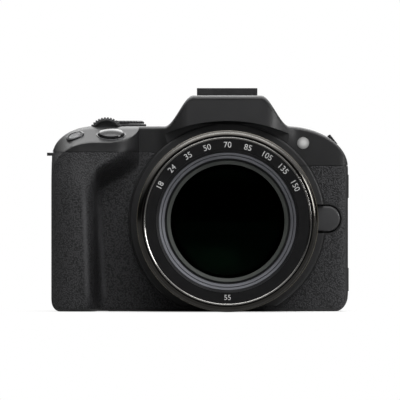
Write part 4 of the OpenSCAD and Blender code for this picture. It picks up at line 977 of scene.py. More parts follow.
plated_steel = moulded("plated_steel", (0.36, 0.36, 0.37), (0.44, 0.44, 0.45), 0.42, 0.6, 0.002, 1.0)
cast_metal = moulded("cast_metal", (0.13, 0.13, 0.14), (0.20, 0.20, 0.21), 0.5, 0.5, 0.02, 1.0)
gold_plate = moulded("gold_plate", (0.62, 0.42, 0.14), (0.75, 0.53, 0.20), 0.24, 0.3, 0.004, 1.0)
blackened = moulded("blackened", (0.008, 0.008, 0.009), (0.014, 0.014, 0.015), 0.6, 0.4, 0.01)
board_green = moulded("board_green", (0.010, 0.050, 0.026), (0.018, 0.075, 0.040), 0.42, 0.6, 0.01)
sensor_face = moulded("sensor_face", (0.020, 0.030, 0.045), (0.035, 0.040, 0.065), 0.12, 0.8, 0.002)
cell_wrap = moulded("cell_wrap", (0.018, 0.018, 0.020), (0.03, 0.03, 0.032), 0.38, 0.6, 0.006)
card_blue = moulded("card_blue", (0.020, 0.045, 0.15), (0.03, 0.06, 0.19), 0.4, 0.4, 0.006)
dress(["lens_mount", "lens_bayonet"], plated_steel)
dress(["mount_screws", "hinge_pins"], plated_steel, 0.08)
dress(["mount_contacts"], gold_plate, 0.1)
dress(["chassis"], cast_metal, 0.2)
dress(["shutter_frame", "shutter_curtain", "viewfinder_unit", "card_slot", "rear_optics", "focus_group"],
      blackened)
dress(["sensor_board", "main_board"], board_green, 0.1)
dress(["image_sensor"], sensor_face, 0.1)
dress(["battery", "flash_capacitor"], cell_wrap, 0.4)
dress(["memory_card"], card_blue, 0.2)

# Lens barrel
# The fixed barrel of the zoom lens, satin black polycarbonate, with a tapered rear, a sleeve under the two
# rings and a warm grey anodised collar at its front edge.
lens_axis = (0, -1, 0)
lens_seat = (0, flange_y, axis_h)


def ahead(name):
    """How far ahead of the flange a frame node begins and ends."""
    low, high = node_mm(name)
    return flange_y - high[1], flange_y - low[1]


def lens_turned(name, outline, paint, body, slot, *stands_for, sides=240, ribs=None):
    """A ring, tube or glass turned about the lens axis from its outline, dressed for a body."""
    return dressed(spun(name, outline, lens_seat, lens_axis, sides, ribs), paint, body, slot, *stands_for)


zoom_low, zoom_high = ahead("zoom_ring")
control_low, control_high = ahead("control_ring")
sleeve_end = ahead("lens_barrel")[1]
lens_end = ahead("front_barrel")[1]
lens_r = radius_of("control_ring")
ring_in_r = lens_r - 1.45
sleeve_r = ring_in_r - 0.1
sleeve_in_r = sleeve_r - 0.7
tube_in_r = 19.6
tube_out_r = 22.4
bayonet_t = 2.0
running_gap = 0.3

satin_black = moulded("satin_black", (0.018, 0.018, 0.019), (0.025, 0.025, 0.026), 0.4, 0.18, 0.008)
warm_metal = turned("warm_metal", (0.090, 0.086, 0.079), (0.120, 0.114, 0.104), 0.18, 0.1)
barrel_profile = [(tube_in_r, bayonet_t + 0.1), (lens_r - 2.2, bayonet_t + 0.1), (lens_r - 0.7, 8),
                  (lens_r - 0.7, zoom_low - running_gap), (sleeve_r, zoom_low - running_gap),
                  (sleeve_r, zoom_high + running_gap), (lens_r - 0.5, zoom_high + running_gap),
                  (lens_r - 0.5, control_low - running_gap), (sleeve_r, control_low - running_gap),
                  (sleeve_r, sleeve_end - 1), (sleeve_in_r, sleeve_end - 1), (sleeve_in_r, 6),
                  (tube_out_r, 6), (tube_out_r, 26), (tube_in_r, 26)]
barrel_soft = [0, 0.3, 1.5, 0.35, 0, 0, 0.35, 0.35, 0, 0, 0, 0, 0, 0, 0]
lens_turned("lens_barrel", fillet(barrel_profile, barrel_soft), satin_black, "body", "lens_plastic",
            "lens_barrel")
collar_profile = [(sleeve_in_r + 0.1, sleeve_end - 1.6), (lens_r - 0.75, sleeve_end - 1.6),
                  (lens_r - 0.75, sleeve_end - 0.75), (lens_r - 1.6, sleeve_end),
                  (sleeve_in_r + 0.1, sleeve_end)]
collar_outline = fillet(collar_profile, [0, 0.1, 0.5, 0.5, 0.1])
lens_turned("lens_collar", collar_outline, warm_metal, "body", "control_metal")

# Zoom ring
# A wide ring that turns on the barrel, covered by a moulded rubber sleeve with ribs along the lens.
rib_count = 60
rib_depth = 0.55
rib_start = zoom_low + 4
rib_end = zoom_high - 3
ribbed_rubber = moulded("ribbed_rubber", (0.012, 0.012, 0.013), (0.019, 0.019, 0.020), 0.6, 0.3, 0.02)
zoom_profile = [(ring_in_r, zoom_low), (lens_r - 0.25, zoom_low), (lens_r - 0.25, rib_start - 0.3),
                (lens_r, rib_start), (lens_r, rib_end), (lens_r - 0.25, rib_end + 0.3),
                (lens_r - 0.25, zoom_high), (ring_in_r, zoom_high)]
zoom_outline = fillet(zoom_profile, [0, 0.3, 0.1, 0.2, 0.2, 0.1, 0.3, 0])
rib_weight = (zoom_outline[:, 0] > lens_r - 0.1) * 1.0
lens_turned("zoom_ring", zoom_outline, ribbed_rubber, "zoom_ring", "ring_rubber", "zoom_ring",
            sides=rib_count * 14, ribs=(rib_count, rib_depth, rib_weight))

# Control ring
# A narrow knurled ring in front of the zoom ring, with a broad rounded front edge in warm grey
# anodising between two thin bronze lines.
knurl_count = 90
knurl_end = control_high - 3.2
control_profile = [(ring_in_r, control_low), (lens_r - 0.05, control_low), (lens_r - 0.05, knurl_end),
                   (lens_r - 0.5, knurl_end + 0.2), (lens_r - 0.5, knurl_end + 0.5),
                   (ring_in_r, knurl_end + 0.5)]
control_outline = fillet(control_profile, [0, 0.3, 0.25, 0, 0, 0])
knurl_weight = (control_outline[:, 0] > lens_r - 0.12) * 1.0
lens_turned("control_ring", control_outline, satin_black, "control_ring", "control_metal", "control_ring",
            sides=knurl_count * 10, ribs=(knurl_count, 0.3, knurl_weight))
edge_profile = [(ring_in_r, knurl_end + 0.5), (lens_r - 0.02, knurl_end + 0.5),
                (lens_r + 0.02, control_high - 1.9), (lens_r - 0.1, control_high - 1.5),
                (lens_r - 0.7, control_high - 0.35), (lens_r - 1.1, control_high - 0.1),
                (ring_in_r, control_high - 0.1)]
edge_outline = fillet(edge_profile, [0, 0.15, 0.2, 0.3, 0.4, 0.2, 0])
lens_turned("control_ring_edge", edge_outline, warm_metal, "control_ring", "control_metal")
pinstripe = moulded("pinstripe", (0.105, 0.094, 0.070), (0.130, 0.117, 0.088), 0.3, 0.3, 0.002, 0.45)
inner_line = [(-1.32, -0.12), (-1.1, -0.12), (-1.13, -0.02), (-1.29, -0.02)]
outer_line = [(-0.3, -1.9), (0.06, -1.9), (0.06, -1.68), (-0.08, -1.44), (-0.3, -1.6)]
for name, outline in (("inner_pinstripe", inner_line), ("outer_pinstripe", outer_line)):
    lens_turned(name, np.array(outline) + (lens_r, control_high), pinstripe, "control_ring", "control_metal")

# Extending barrels
# Two nested satin tubes that run out when the zoom ring turns. The front one ends in a bright-edged rim.
rim_r = radius_of("front_barrel")
middle_r = radius_of("middle_barrel")
rim_start = sleeve_end + 0.2
name_z = lens_end - 5.4
glass_z = lens_end - 13
glass_r = radius_of("front_element")
second_r = glass_r - 3.5
second_rear = 90.0
second_low = glass_z - 16 - second_rear + math.sqrt(second_rear ** 2 - second_r ** 2)
front_r = middle_r - 1.5
front_in_r = front_r - 1.5
middle_profile = [(middle_r - 1.2, 30), (middle_r, 30), (middle_r, sleeve_end - 0.4),
                  (middle_r - 1.2, sleeve_end - 0.4)]
lens_turned("middle_barrel", fillet(middle_profile, 0.25), satin_black, "middle_barrel", "lens_plastic",
            "middle_barrel", sides=200)
front_profile = [(front_in_r, 31), (front_r, 31), (front_r, rim_start), (rim_r, rim_start),
                 (rim_r, lens_end - 0.7), (rim_r - 0.8, lens_end - 0.7), (rim_r - 0.8, name_z),
                 (glass_r + 4, name_z), (glass_r + 4, glass_z + 3), (glass_r + 0.15, glass_z + 3),
                 (glass_r + 0.15, glass_z - 5),
                 (glass_r - 2, glass_z - 5), (glass_r - 2, glass_z - 8), (second_r + 0.1, glass_z - 8),
                 (second_r + 0.1, second_low - 0.05), (second_r - 1.3, second_low - 0.05),
                 (second_r - 1.3, second_low - 1), (second_r + 1.9, second_low - 1),
                 (second_r + 1.9, glass_z - 8), (front_in_r, glass_z - 8)]
lens_turned("front_barrel", fillet(front_profile, 0.12), satin_black, "front_barrel", "lens_plastic",
            "front_barrel")
bright_metal = turned("bright_metal", (0.42, 0.41, 0.39), (0.52, 0.51, 0.49), 0.2, 0.1)
rim_profile = np.array([(-0.78, -0.7), (0, -0.7), (0, -0.1), (-0.15, 0), (-0.35, 0), (-0.78, -0.45)])
rim_outline = fillet(rim_profile + (rim_r, lens_end), [0, 0.05, 0.08, 0.08, 0.2, 0])
lens_turned("rim_edge", rim_outline, bright_metal, "front_barrel", "control_metal")

# Name ring, filter thread and cone
# A matte black aluminium ring round the glass with a fine screw thread for filters, and a black cone with
# blue-grey ridges that leads down to the front element; its black between the ridges is painted groove shade.
# The ring carries printed focal lengths.
filter_r = 27.0
thread_pitch = 0.75
thread_z = np.arange(name_z + 0.5, lens_end - 0.9, thread_pitch / 2)
thread_r = filter_r + 0.22 * (np.arange(len(thread_z)) % 2)
matte_ring = turned("matte_ring", (0.005, 0.005, 0.0053), (0.007, 0.007, 0.0073), 0.5, 0.3, 0.0, 0.12)
face_profile = [(filter_r + 0.1, lens_end - 0.55), (rim_r - 0.82, lens_end - 0.3),
                (rim_r - 0.82, name_z + 0.01), (glass_r + 3.9, name_z + 0.01)]
ring_outline = np.concatenate([np.stack([thread_r, thread_z], -1), np.array(face_profile)])
lens_turned("name_ring", ring_outline, matte_ring, "front_barrel", "lens_plastic", "name_ring")
cone_low = glass_z + 3.02
cone_slope = (name_z - 0.7 - cone_low) / (filter_r - glass_r - 0.6)
cone_outline = [(glass_r - 0.3, cone_low), (glass_r - 0.3, cone_low + 0.2), (glass_r + 0.35, cone_low + 0.5),
                (filter_r - 0.25, name_z - 0.2), (filter_r, name_z),
                (glass_r + 3.9, name_z), (glass_r + 3.9, cone_low)]
# The black cone shows between the grey ridges: painted shade standing in for the depth of the grooves.
lens_turned("thread_cone", cone_outline, blackened, "front_barrel", "lens_plastic")
cone_grey = moulded("cone_grey", (0.105, 0.107, 0.118), (0.133, 0.136, 0.150), 0.5, 0.3, 0.006)
ridge_r = np.array([23.9, 24.05, 24.9, 25.12, 25.34, 26.05, 26.2])
ridge_rise = np.array([-0.2, 0.35, 0.35, -0.3, 0.35, 0.35, -0.2])
ridge_z = cone_low + 0.5 + cone_slope * (ridge_r - glass_r - 0.35) + ridge_rise
lens_turned("cone_ridges", np.stack([ridge_r, ridge_z], -1), cone_grey, "front_barrel", "lens_plastic")
ring_ink = moulded("ring_ink", (0.26, 0.26, 0.26), (0.34, 0.34, 0.34), 0.6, 0.2, 0.002)


def number_mesh(text, height):
    """Flat points and faces of a number of that height, centred on the origin."""
    curve = bpy.data.curves.new("number_" + text, "FONT")
    curve.body = text
    curve.size = height
    curve.align_x = "CENTER"
    curve.align_y = "CENTER"
    holder = bpy.data.objects.new("number_" + text, curve)
    scene.collection.objects.link(holder)
    bpy.context.view_layer.update()
    mesh = bpy.data.meshes.new_from_object(holder.evaluated_get(bpy.context.evaluated_depsgraph_get()))
    bpy.data.objects.remove(holder)
    flat = np.empty(len(mesh.vertices) * 3)
    mesh.vertices.foreach_get("co", flat)
    faces = [tuple(p.vertices) for p in mesh.polygons]
    bpy.data.meshes.remove(mesh)
    return flat.reshape(-1, 3), faces


def ring_number(text, angle, r, height, upright):
    """A number bent round the lens axis: across the text becomes the angle, up becomes the radius."""
    flat, faces = number_mesh(text, height)
    rho = r + upright * flat[:, 1]
    theta = angle - upright * flat[:, 0] / r
    level = lens_end - 0.55 + 0.25 * (rho - filter_r) / (rim_r - 0.82 - filter_r)
    points = np.stack([rho * np.cos(theta), flange_y - level - 0.025, axis_h + rho * np.sin(theta)], -1)
    return points, faces


def joined_prints(name, prints):
    """One mesh from several lists of points and faces."""
    shift = np.cumsum([0] + [len(points) for points, faces in prints])
    faces = [tuple(int(i) + int(s) for i in f) for s, (points, part) in zip(shift, prints) for f in part]
    mesh = bpy.data.meshes.new(name)
    mesh.from_pydata((np.concatenate([points for points, part in prints]) * MM).tolist(), [], faces)
    piece = bpy.data.objects.new(name, mesh)
    scene.collection.objects.link(piece)
    return piece


focal_lengths = ["18", "24", "35", "50", "70", "85", "105", "135", "150"]
arc = np.radians(np.linspace(152, 28, len(focal_lengths)))
prints = [ring_number(text, a, 29.0, 3.1, 1) for text, a in zip(focal_lengths, arc)]
prints.append(ring_number("55", math.radians(270), 29.0, 2.8, -1))
ring_print = joined_prints("ring_numbers", prints)
dressed(ring_print, ring_ink, "front_barrel", "lens_plastic")

# Front glass
# The front group: a large convex crown with a green anti-reflection coating in a grey-green retaining
# ring, and a hollow second glass close behind it, seated in the black cell of the front barrel.
face_radius = 62.0
face_sag = face_radius - math.sqrt(face_radius ** 2 - glass_r ** 2)
apex_z = glass_z + 2.4 + face_sag


def coated(name, tint_rgb, glass_rgb):
    """Optical glass: clear inside, with a coloured weak mirror from its coating."""
    paint, made, shader, coords = finish(name)
    feed(shader, Base_Color=tint(made, noise(made, coords, 20.0), glass_rgb, [c * 1.06 for c in glass_rgb]),
         Roughness=spread(made, noise(made, coords, 12.0), 0.0, 0.012), Transmission_Weight=1.0, IOR=1.5,
         Specular_IOR_Level=0.5, Specular_Tint=(*tint_rgb, 1))
    return paint


crown_glass = coated("crown_glass", (0.02, 0.07, 0.045), (0.14, 0.16, 0.15))
flint_glass = coated("flint_glass", (0.04, 0.22, 0.10), (0.04, 0.05, 0.045))


def cap_curve(radius, edge_r, apex, hollow, count=28):
    """Points of a spherical cap from the axis outwards: apex less the sagitta, or plus it when hollow."""
    r = np.linspace(0, edge_r, count)
    sag = radius - np.sqrt(radius ** 2 - r ** 2)
    return np.stack([r, apex + (sag if hollow else -sag)], -1)


crown_front = cap_curve(face_radius, glass_r - 0.05, apex_z, False)
crown_rear = cap_curve(70.0, glass_r - 0.05, glass_z - 0.6, False)
lens_turned("front_element", np.concatenate([crown_front, crown_rear[::-1]]), crown_glass, "front_barrel",
            "lens_glass", "front_element", sides=160)
flint_front = cap_curve(34.0, second_r, glass_z - 13.0, True)
flint_rear = cap_curve(second_rear, second_r, glass_z - 16.0, False)
lens_turned("second_element", np.concatenate([flint_front, flint_rear[::-1]]), flint_glass, "front_barrel",
            "lens_glass", sides=128)
ground_edge = moulded("ground_edge", (0.030, 0.033, 0.030), (0.042, 0.046, 0.042), 0.5, 0.3, 0.006)
retainer = np.array([(-1.7, 3.2), (-0.3, 3.03), (-0.3, 3.9), (-0.45, 3.95), (-1.7, 3.35)])
bevel = np.array([(-2.1, -4.35), (-0.2, -4.75), (-0.2, -4.95), (-2.1, -4.95)])
for name, outline in (("glass_retainer", retainer), ("glass_bevel", bevel)):
    lens_turned(name, outline + (glass_r, glass_z), ground_edge, "front_barrel", "lens_plastic")

# Release button
# A black tongue beside the mount that frees the lens, moulded with a rounded edge and pushed by a thumb.
release = soft_prism("release_button", release_outline(-0.3), release_low[1], front_y + 1.6, 0.9, ends=(0,))
smooth_black = moulded("smooth_black", (0.028, 0.028, 0.029), (0.036, 0.036, 0.037), 0.36, 0.15, 0.005)
dressed(release, smooth_black, "release_button", "button_plastic", "release_button")

# Focus lamp
# A small milky dome in the top cover that lights up for focusing in the dark, pressed in from the front.
lamp_tip = node_mm("focus_lamp")[0][1]
lamp_r = radius_of("focus_lamp")
lamp_dome = cap_curve(6.0, lamp_r, front_y - lamp_tip, False, 10)
lamp_outline = np.concatenate([[(0, -1.5), (lamp_r, -1.5)], lamp_dome[::-1]])
milky, made, shader, coords = finish("milky_plastic")
lamp_seat = tuple(np.array([lamp_mid[0], lamp_tip, lamp_mid[2]]) * MM)
lamp_away = shade(made, "VectorMath", coords, lamp_seat, operation="DISTANCE", give="Value")
# The dome is painted darker towards its rim and paler in the middle: painted shade and light for its
# rounding.
painted_rim_shade = shade(made, "MapRange", lamp_away, From_Min=0.3 * lamp_r * MM, From_Max=1.05 * lamp_r * MM,
                  To_Min=0.7, To_Max=0.3)
feed(shader, Base_Color=tint(made, painted_rim_shade, (0.12, 0.12, 0.118), (0.38, 0.38, 0.375)),
     Roughness=spread(made, noise(made, coords, 0.3), 0.28, 0.4))
lamp = spun("focus_lamp", lamp_outline, (lamp_mid[0], front_y, lamp_mid[2]), (0, -1, 0), 64)
dressed(lamp, milky, "body", "clear_plastic", "focus_lamp")

# Strap lugs and accessory shoe
# Steel loops on both shoulders, and a bent black steel shoe with five gold contacts for a flash or viewer.
dark_steel = moulded("dark_steel", (0.024, 0.024, 0.025), (0.034, 0.034, 0.035), 0.4, 0.25, 0.006, 0.2)
satin_steel = moulded("satin_steel", (0.30, 0.30, 0.305), (0.42, 0.42, 0.425), 0.3, 0.2, 0.006, 1.0)
dress(["strap_lugs"], satin_steel, 0.25)
dress(["hot_shoe"], dark_steel, 0.15)
shoe_low = node_mm("hot_shoe")[0]
shoe_floor = shoe_low[2] + 0.8
contact_spots = [(0, 6.2, 1.3), (-3.6, 9.8, 0.75), (3.6, 9.8, 0.75), (-1.9, 12.6, 0.75), (1.9, 12.6, 0.75)]
contacts = [spun("contact", fillet([(0, -0.1), (r, -0.1), (r, 0.22), (0, 0.22)], [0, 0, 0.12, 0]),
                 (x, shoe_low[1] + y, shoe_floor), (0, 0, 1), 32) for x, y, r in contact_spots]
dressed(merged(contacts), gold_plate, "body", "gold").name = "shoe_contacts"

# Flash lid
# The top of the hump lifts on a rear hinge and carries the flash head: a lid that follows the hump, a hollow
# head under it and a ribbed clear window with a bright reflector behind.
head_y = (flash_back_y - 13, flash_back_y - 2.5)
head_low = hump_h - 7.7
lid = carve(body_form("flash_cover"), hump_band(0), "INTERSECT")
carve(lid, prism("knuckle_room", circle(flash_axis, 2.0), -far, far, "x"))
lid_leaf = [block("leaf", (-knuckle_half, flash_axis[0] - 3, flash_axis[1] - 0.2),
                  (knuckle_half, flash_axis[0], flash_axis[1] + 1.2)),
            prism("knuckle", circle(flash_axis, 1.2, 48), -knuckle_half, knuckle_half, "x"),
            block("head", (-head_half, head_y[0], head_low), (head_half, head_y[1], hump_h - 1))]
carve(lid, merged(lid_leaf), "UNION")
lid_cuts = [block("head_hollow", (-head_half + 1.2, head_y[0] - 1, head_low + 1),
                  (head_half - 1.2, head_y[1] - 2.5, hump_h - 2.6)),
            prism("pin_bore", circle(flash_axis, 0.85, 32), -far, far, "x")]
carve(lid, merged(lid_cuts))
dressed(lid, top_moulding, "flash", "body_plastic", "flash_cover")
window_plastic, made, shader, coords = finish("window_plastic")
stripes = shade(made, "TexWave", coords, Scale=1 / (1.4 * MM) / 6.283, bands_direction="X", give=1)
feed(shader, Base_Color=tint(made, noise(made, coords, 4.0), (0.62, 0.64, 0.66), (0.72, 0.73, 0.74)),
     Roughness=spread(made, noise(made, coords, 2.0), 0.12, 0.2), Transmission_Weight=0.35)
relief(made, shader, stripes, 0.25)
dress(["flash_window"], window_plastic, 0.1)

# Shutter and movie buttons
# The shutter button is a domed, glossy black cap that tips with the shelf. The movie button beside it
# is smaller, with a fine cross-hatched face. Both stand in thin collars.
button_metal = moulded("button_metal", (0.006, 0.006, 0.0064), (0.010, 0.010, 0.0105), 0.2, 0.12, 0.002,
                       level=0.5)
collar_metal = moulded("collar_metal", (0.05, 0.05, 0.052), (0.08, 0.08, 0.082), 0.26, 0.3, 0.003, 1.0)


def control(name, outline, seat, axis, sides, paint, slot="button_plastic", ribs=None):
    """A button or dial turned about its own axis from an outline, which rides on the body of its name."""
    return dressed(spun(name, outline, seat, axis, sides, ribs), paint, name, slot, name)


dome = cap_curve(13.9, shutter_r - 0.25, 1.9, False, 14)
shutter_outline = np.concatenate([[(0, -2.5), (shutter_r, -2.5), (shutter_r, 0.55), (shutter_r - 0.1, 0.85)],
                                  dome[::-1]])
control("shutter_button", shutter_outline, shutter_at, tilt_axis, 128, button_metal, "button_gloss")


def collar_ring(name, r, width, rise, at, axis):
    """A thin half-round ring about a button: a low arch between two radii."""
    ring = fillet([(r, -0.8), (r, rise), (r + width, rise * 0.6), (r + width, -0.8)], [0, 0.15, 0.3, 0])
    return dressed(spun(name, ring, at, axis, 128), collar_metal, "body", "control_metal")


collar_ring("shutter_collar", shutter_r + shutter_gap, 0.55, 0.25, shutter_at, tilt_axis)
collar_ring("movie_collar", movie_r + movie_gap, 0.7, 0.55, movie_at, movie_axis)
movie_outline = fillet([(0, -2.4), (movie_r, -2.4), (movie_r, 0.45), (movie_r - 0.5, 0.4), (0, 0.28)],
                       [0, 0, 0.2, 0.1, 0])
hatched, made, shader, coords = finish("hatched_metal")
checks = shade(made, "TexVoronoi", coords, Scale=1 / (0.45 * MM), voronoi_dimensions="2D", Randomness=0.0,
               give="Distance")
feed(shader, Base_Color=tint(made, checks, (0.13, 0.13, 0.134), (0.04, 0.04, 0.041)),
     Roughness=spread(made, noise(made, coords, 0.4), 0.3, 0.4), Metallic=1.0)
relief(made, shader, checks, 0.12)
control("movie_button", movie_outline, movie_at, movie_axis, 96, hatched, "button_gloss")

# Main dial, mode dial and power lever
# Knurled dials of black plastic with sharp flutes: one stands upright behind the shutter button, the other
# lies flat on the shoulder over the ring of the power lever and carries printed numbers.
dial_black = moulded("dial_black", (0.016, 0.016, 0.017), (0.022, 0.022, 0.023), 0.36, 0.2, 0.006)
dial_w = dial_high[1] - dial_low[1]
dial_profile = fillet([(1.25, 0), (dial_r - 0.6, 0), (dial_r, 0.6), (dial_r, dial_w - 0.6),
                       (dial_r - 0.6, dial_w), (1.25, dial_w)], [0, 0.3, 0.2, 0.2, 0.3, 0])
dial_flutes = 36
control("main_dial", dial_profile, (dial_mid[0], dial_high[1], dial_mid[2]), (0, -1, 0), dial_flutes * 12,
        dial_black, ribs=(dial_flutes, 0.45, ease((dial_profile[:, 0] - dial_r + 0.6) / 0.6)))
mode_r = radius_of("mode_dial")
mode_top = mode_high[2] - shoulder_h
lever_t = 0.9
mode_profile = fillet([(0, -5), (3, -5), (3, lever_t + 0.1), (mode_r, lever_t + 0.1),
                       (mode_r, mode_top - 0.45), (mode_r - 0.9, mode_top), (mode_r - 2.2, mode_top),
                       (mode_r - 2.4, mode_top - 0.12), (0, mode_top - 0.12)],
                      [0, 0, 0, 0.15, 0.15, 0.15, 0.05, 0.05, 0])
mode_flutes = 40
control("mode_dial", mode_profile, (*mode_mid[:2], shoulder_h), (0, 0, 1), mode_flutes * 12, dial_black,
        ribs=(mode_flutes, 0.4, ease((mode_profile[:, 0] - mode_r + 0.4) / 0.4)))


def dial_number(text, angle, r, height):
    """A number lying flat on the mode dial, its top pointing outwards."""
    flat, faces = number_mesh(text, height)
    out = np.array([math.cos(angle), math.sin(angle)])
    across = np.array([math.sin(angle), -math.cos(angle)])
    place = mode_mid[:2] + (r + flat[:, 1:2]) * out + flat[:, :1] * across
    return np.column_stack([place, np.full(len(flat), mode_high[2] + 0.02 - 0.12)]), faces


dial_ink = moulded("dial_ink", (0.55, 0.55, 0.55), (0.66, 0.66, 0.66), 0.6, 0.2, 0.002)
dial_prints = [dial_number(str(i + 1), math.radians(90 - 40 * i), 5.0, 2.0) for i in range(9)]
dressed(joined_prints("dial_numbers", dial_prints), dial_ink, "mode_dial", "button_plastic")
dress(["power_lever"], smooth_black, 0.2)

# Viewfinder eyepiece
# A soft rubber cup round the coated glass window of the finder, pushed on from behind, with a knurled wheel
# for eyesight correction at its side.
soft_rubber = moulded("soft_rubber", (0.012, 0.012, 0.0125), (0.018, 0.018, 0.0185), 0.66, 0.35, 0.02)
cup_low, cup_high = (corner[[0, 2]] for corner in node_mm("eyecup"))
cup_front_y, cup_back_y = (corner[1] for corner in node_mm("eyecup"))
cup_mid_y = cup_front_y + 2.4
cup_foot = soft_prism("eyecup", round_rect(cup_low, cup_high, 6.1), cup_front_y, cup_mid_y, 0.5, ends=(1,))
cup_lip = soft_prism("cup_lip", round_rect(cup_low + 0.8, cup_high - 0.8, 5.3), cup_mid_y - 0.6,
                     cup_back_y, 1.1, ends=(1,))
carve(cup_foot, cup_lip, "UNION")
cup_cuts = [prism("cup_window", round_rect(eye_low - 0.3, eye_high + 0.3, 3.1), 0, far),
            prism("cup_flare", round_rect(eye_low - (1.7, 1.1), eye_high + (1.7, 1.1), 3.9),
                  cup_front_y + 3.4, far)]
carve(cup_foot, merged(cup_cuts))
dressed(cup_foot, soft_rubber, "body", "ring_rubber", "eyecup")
dress(["eyepiece_lens"], coated("eye_glass", (0.55, 0.6, 1.0), (0.75, 0.78, 0.80)), 0.3)
wheel_mid = middle_of("diopter_dial")
wheel_profile = fillet([(0, -1.0), (2.1, -1.0), (2.1, 0.9), (0, 0.9)], [0, 0.1, 0.25, 0])
control("diopter_dial", wheel_profile, (wheel_mid[0], finder_back, wheel_mid[2]), (0, 1, 0), 240, dial_black,
        ribs=(20, 0.22, (wheel_profile[:, 0] > 1.9) * 1.0))

# Hinged screen
# A flat moulded panel on two knuckles at the side, with a sheet of black cover glass let into its outer face.
screen_r = 3.0
panel_right = hinge_x - 0.9
panel = soft_prism("screen_shell", round_rect(screen_low[[0, 2]], (panel_right, screen_high[2]), screen_r),
                   screen_low[1], screen_high[1], 0.7)
knuckles = []
for z in (screen_low[2] + 2, screen_high[2] - 11):
    knuckles.append(block("leaf", (panel_right - 2, hinge_y - 1, z), (hinge_x, hinge_y + 1, z + 9)))
    knuckles.append(prism("knuckle", circle((hinge_x, hinge_y), 1.7, 48), z, z + 9, "z"))
carve(panel, merged(knuckles), "UNION")
screen_cuts = [prism("pin_bore", circle((hinge_x, hinge_y), 0.95, 32), -1, far, "z"),
               block("glass_bed", (screen_low[0] + 2.4, screen_high[1] - 1.2, screen_low[2] + 3),
                     (panel_right - 5, far, screen_high[2] - 3)),
               prism("finger_scoop", circle((screen_low[0] - 1.2, screen_high[1] + 0.4), 2.2, 48), 24, 36,
                     "z")]
carve(panel, merged(screen_cuts))
dressed(panel, black_moulding, "screen", "body_plastic", "screen_shell")
cover_glass, made, shader, coords = finish("cover_glass")
feed(shader, Base_Color=tint(made, noise(made, coords, 25.0), (0.006, 0.0065, 0.008), (0.009, 0.0095, 0.012)),
     Roughness=spread(made, noise(made, coords, 8.0), 0.03, 0.07), Coat_Weight=0.5)
dress(["screen_glass"], cover_glass, 0.15)

# Rear buttons and direction pad
# Crowned black buttons with a flange behind the cover, a dished four-way ring with printed arrow heads and a
# domed button in its middle.
control_depth = 3.4
control_y = back_y - control_depth


def rear_button(name):
    """A stepped button turned about the depth axis, with a crowned face."""
    x, z = middle_of(name)[[0, 2]]
    crown = cap_curve(14.0, button_r - 0.3, control_depth + 0.8, False, 8)
    outline = np.concatenate([[(0, 0), (button_r + 0.7, 0), (button_r + 0.7, 0.8), (button_r, 0.8),
                               (button_r, control_depth + 0.3)], crown[::-1]])
    return control(name, outline, (x, control_y, z), (0, 1, 0), 64, smooth_black)


for name in ("menu_button", "info_button", "playback_button", "lock_button"):
    rear_button(name)
pad_seat = (pad_mid[0], control_y, pad_mid[2])
set_r = radius_of("set_button")
pad_profile = fillet([(set_r + 0.3, 1.3), (pad_r, 1.3), (pad_r, 3.6), (pad_r - 1, control_depth + 0.9),
                      (set_r + 1.6, control_depth + 0.7), (set_r + 0.3, control_depth + 0.3)],
                     [0, 0, 0.5, 0.5, 0.6, 0.3])
control("direction_pad", pad_profile, pad_seat, (0, 1, 0), 128, smooth_black)
arrow = np.array([(-0.6, 0), (0.6, 0), (0, 0.75)])
arrow_prints = []
for angle in np.radians([0, 90, 180, 270]):
    out = np.array([math.cos(angle), math.sin(angle)])
    across = np.array([-math.sin(angle), math.cos(angle)])
    spots = pad_mid[[0, 2]] + arrow[:, :1] * across + (6.6 + arrow[:, 1:]) * out
    arrow_prints.append((np.column_stack([spots[:, 0], np.full(3, back_y + 0.9), spots[:, 1]]), [(0, 2, 1)]))
dressed(joined_prints("pad_arrows", arrow_prints), dial_ink, "direction_pad", "button_plastic")
set_dome = cap_curve(22.0, set_r - 0.3, control_depth + 0.7, False, 8)
set_outline = np.concatenate([[(0, 0.6), (set_r, 0.6), (set_r, control_depth + 0.15)], set_dome[::-1]])
control("set_button", set_outline, pad_seat, (0, 1, 0), 96, smooth_black)
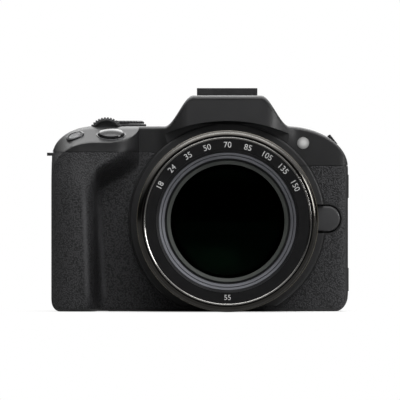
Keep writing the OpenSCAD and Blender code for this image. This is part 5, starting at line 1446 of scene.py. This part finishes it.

# Socket covers
# Flexible elastomer flaps over the sockets on both sides, with a nail
# notch at the rear.


def socket_flap(name):
    """A thin plate with rounded corners and soft edges, and a shallow groove near its rear edge."""
    low, high = node_mm(name)
    flap = soft_prism(name, round_rect(low[[1, 2]], high[[1, 2]], 1.2), low[0], high[0], 0.35, "x")
    side = low[0] if low[0] < 0 else high[0]
    groove = block("groove", (side - 0.35, high[1] - 1.3, low[2] + 6),
                   (side + 0.35, high[1] - 0.7, high[2] - 6))
    return dressed(carve(flap, groove), soft_rubber, name, "ring_rubber", name)


socket_flap("usb_cover")
socket_flap("microphone_cover")

# Battery door, tripod socket and base screws
# A moulded door with a sliding latch, a plated steel bush with a screw thread for a tripod, and
# cross-head screws sunk in the base.
dress(["battery_door"], black_moulding, 0.2)
dress(["battery_latch"], smooth_black, 0.1)
bush_h = node_mm("tripod_socket")[1][2]
bush_r = radius_of("tripod_socket")
bush_pitch = 1.27
bush_depth = 6.0
thread_h = np.arange(0.2, bush_depth, bush_pitch / 2)
bush_thread = np.stack([3.12 - 0.45 * (np.arange(len(thread_h)) % 2), thread_h], -1)
bush_outline = np.concatenate([[(3.5, 0), (bush_r, 0), (bush_r, bush_h), (0, bush_h), (0, bush_depth),
                                (2.8, bush_depth)],
                               bush_thread[::-1]])
bush = spun("tripod_socket", bush_outline, (0, 0, 0), (0, 0, 1), 96)
dressed(bush, plated_steel, "body", "steel", "tripod_socket")
screw_outline = fillet([(0, 1.6), (1.5, 1.6), (1.5, 0.2), (0, 0.2)], [0, 0, 0.25, 0])
screw_heads = []
for x, y in base_screws:
    head = spun("screw", screw_outline, (x, y, 0), (0, 0, 1), 48)
    cross = block("slot", (x - 0.95, y - 0.2, 0), (x + 0.95, y + 0.2, 0.9))
    carve(cross, block("slot", (x - 0.2, y - 0.95, 0), (x + 0.2, y + 0.95, 0.9)), "UNION")
    screw_heads.append(carve(head, cross))
dressed(merged(screw_heads), dark_steel, "body", "steel", "cover_screws")
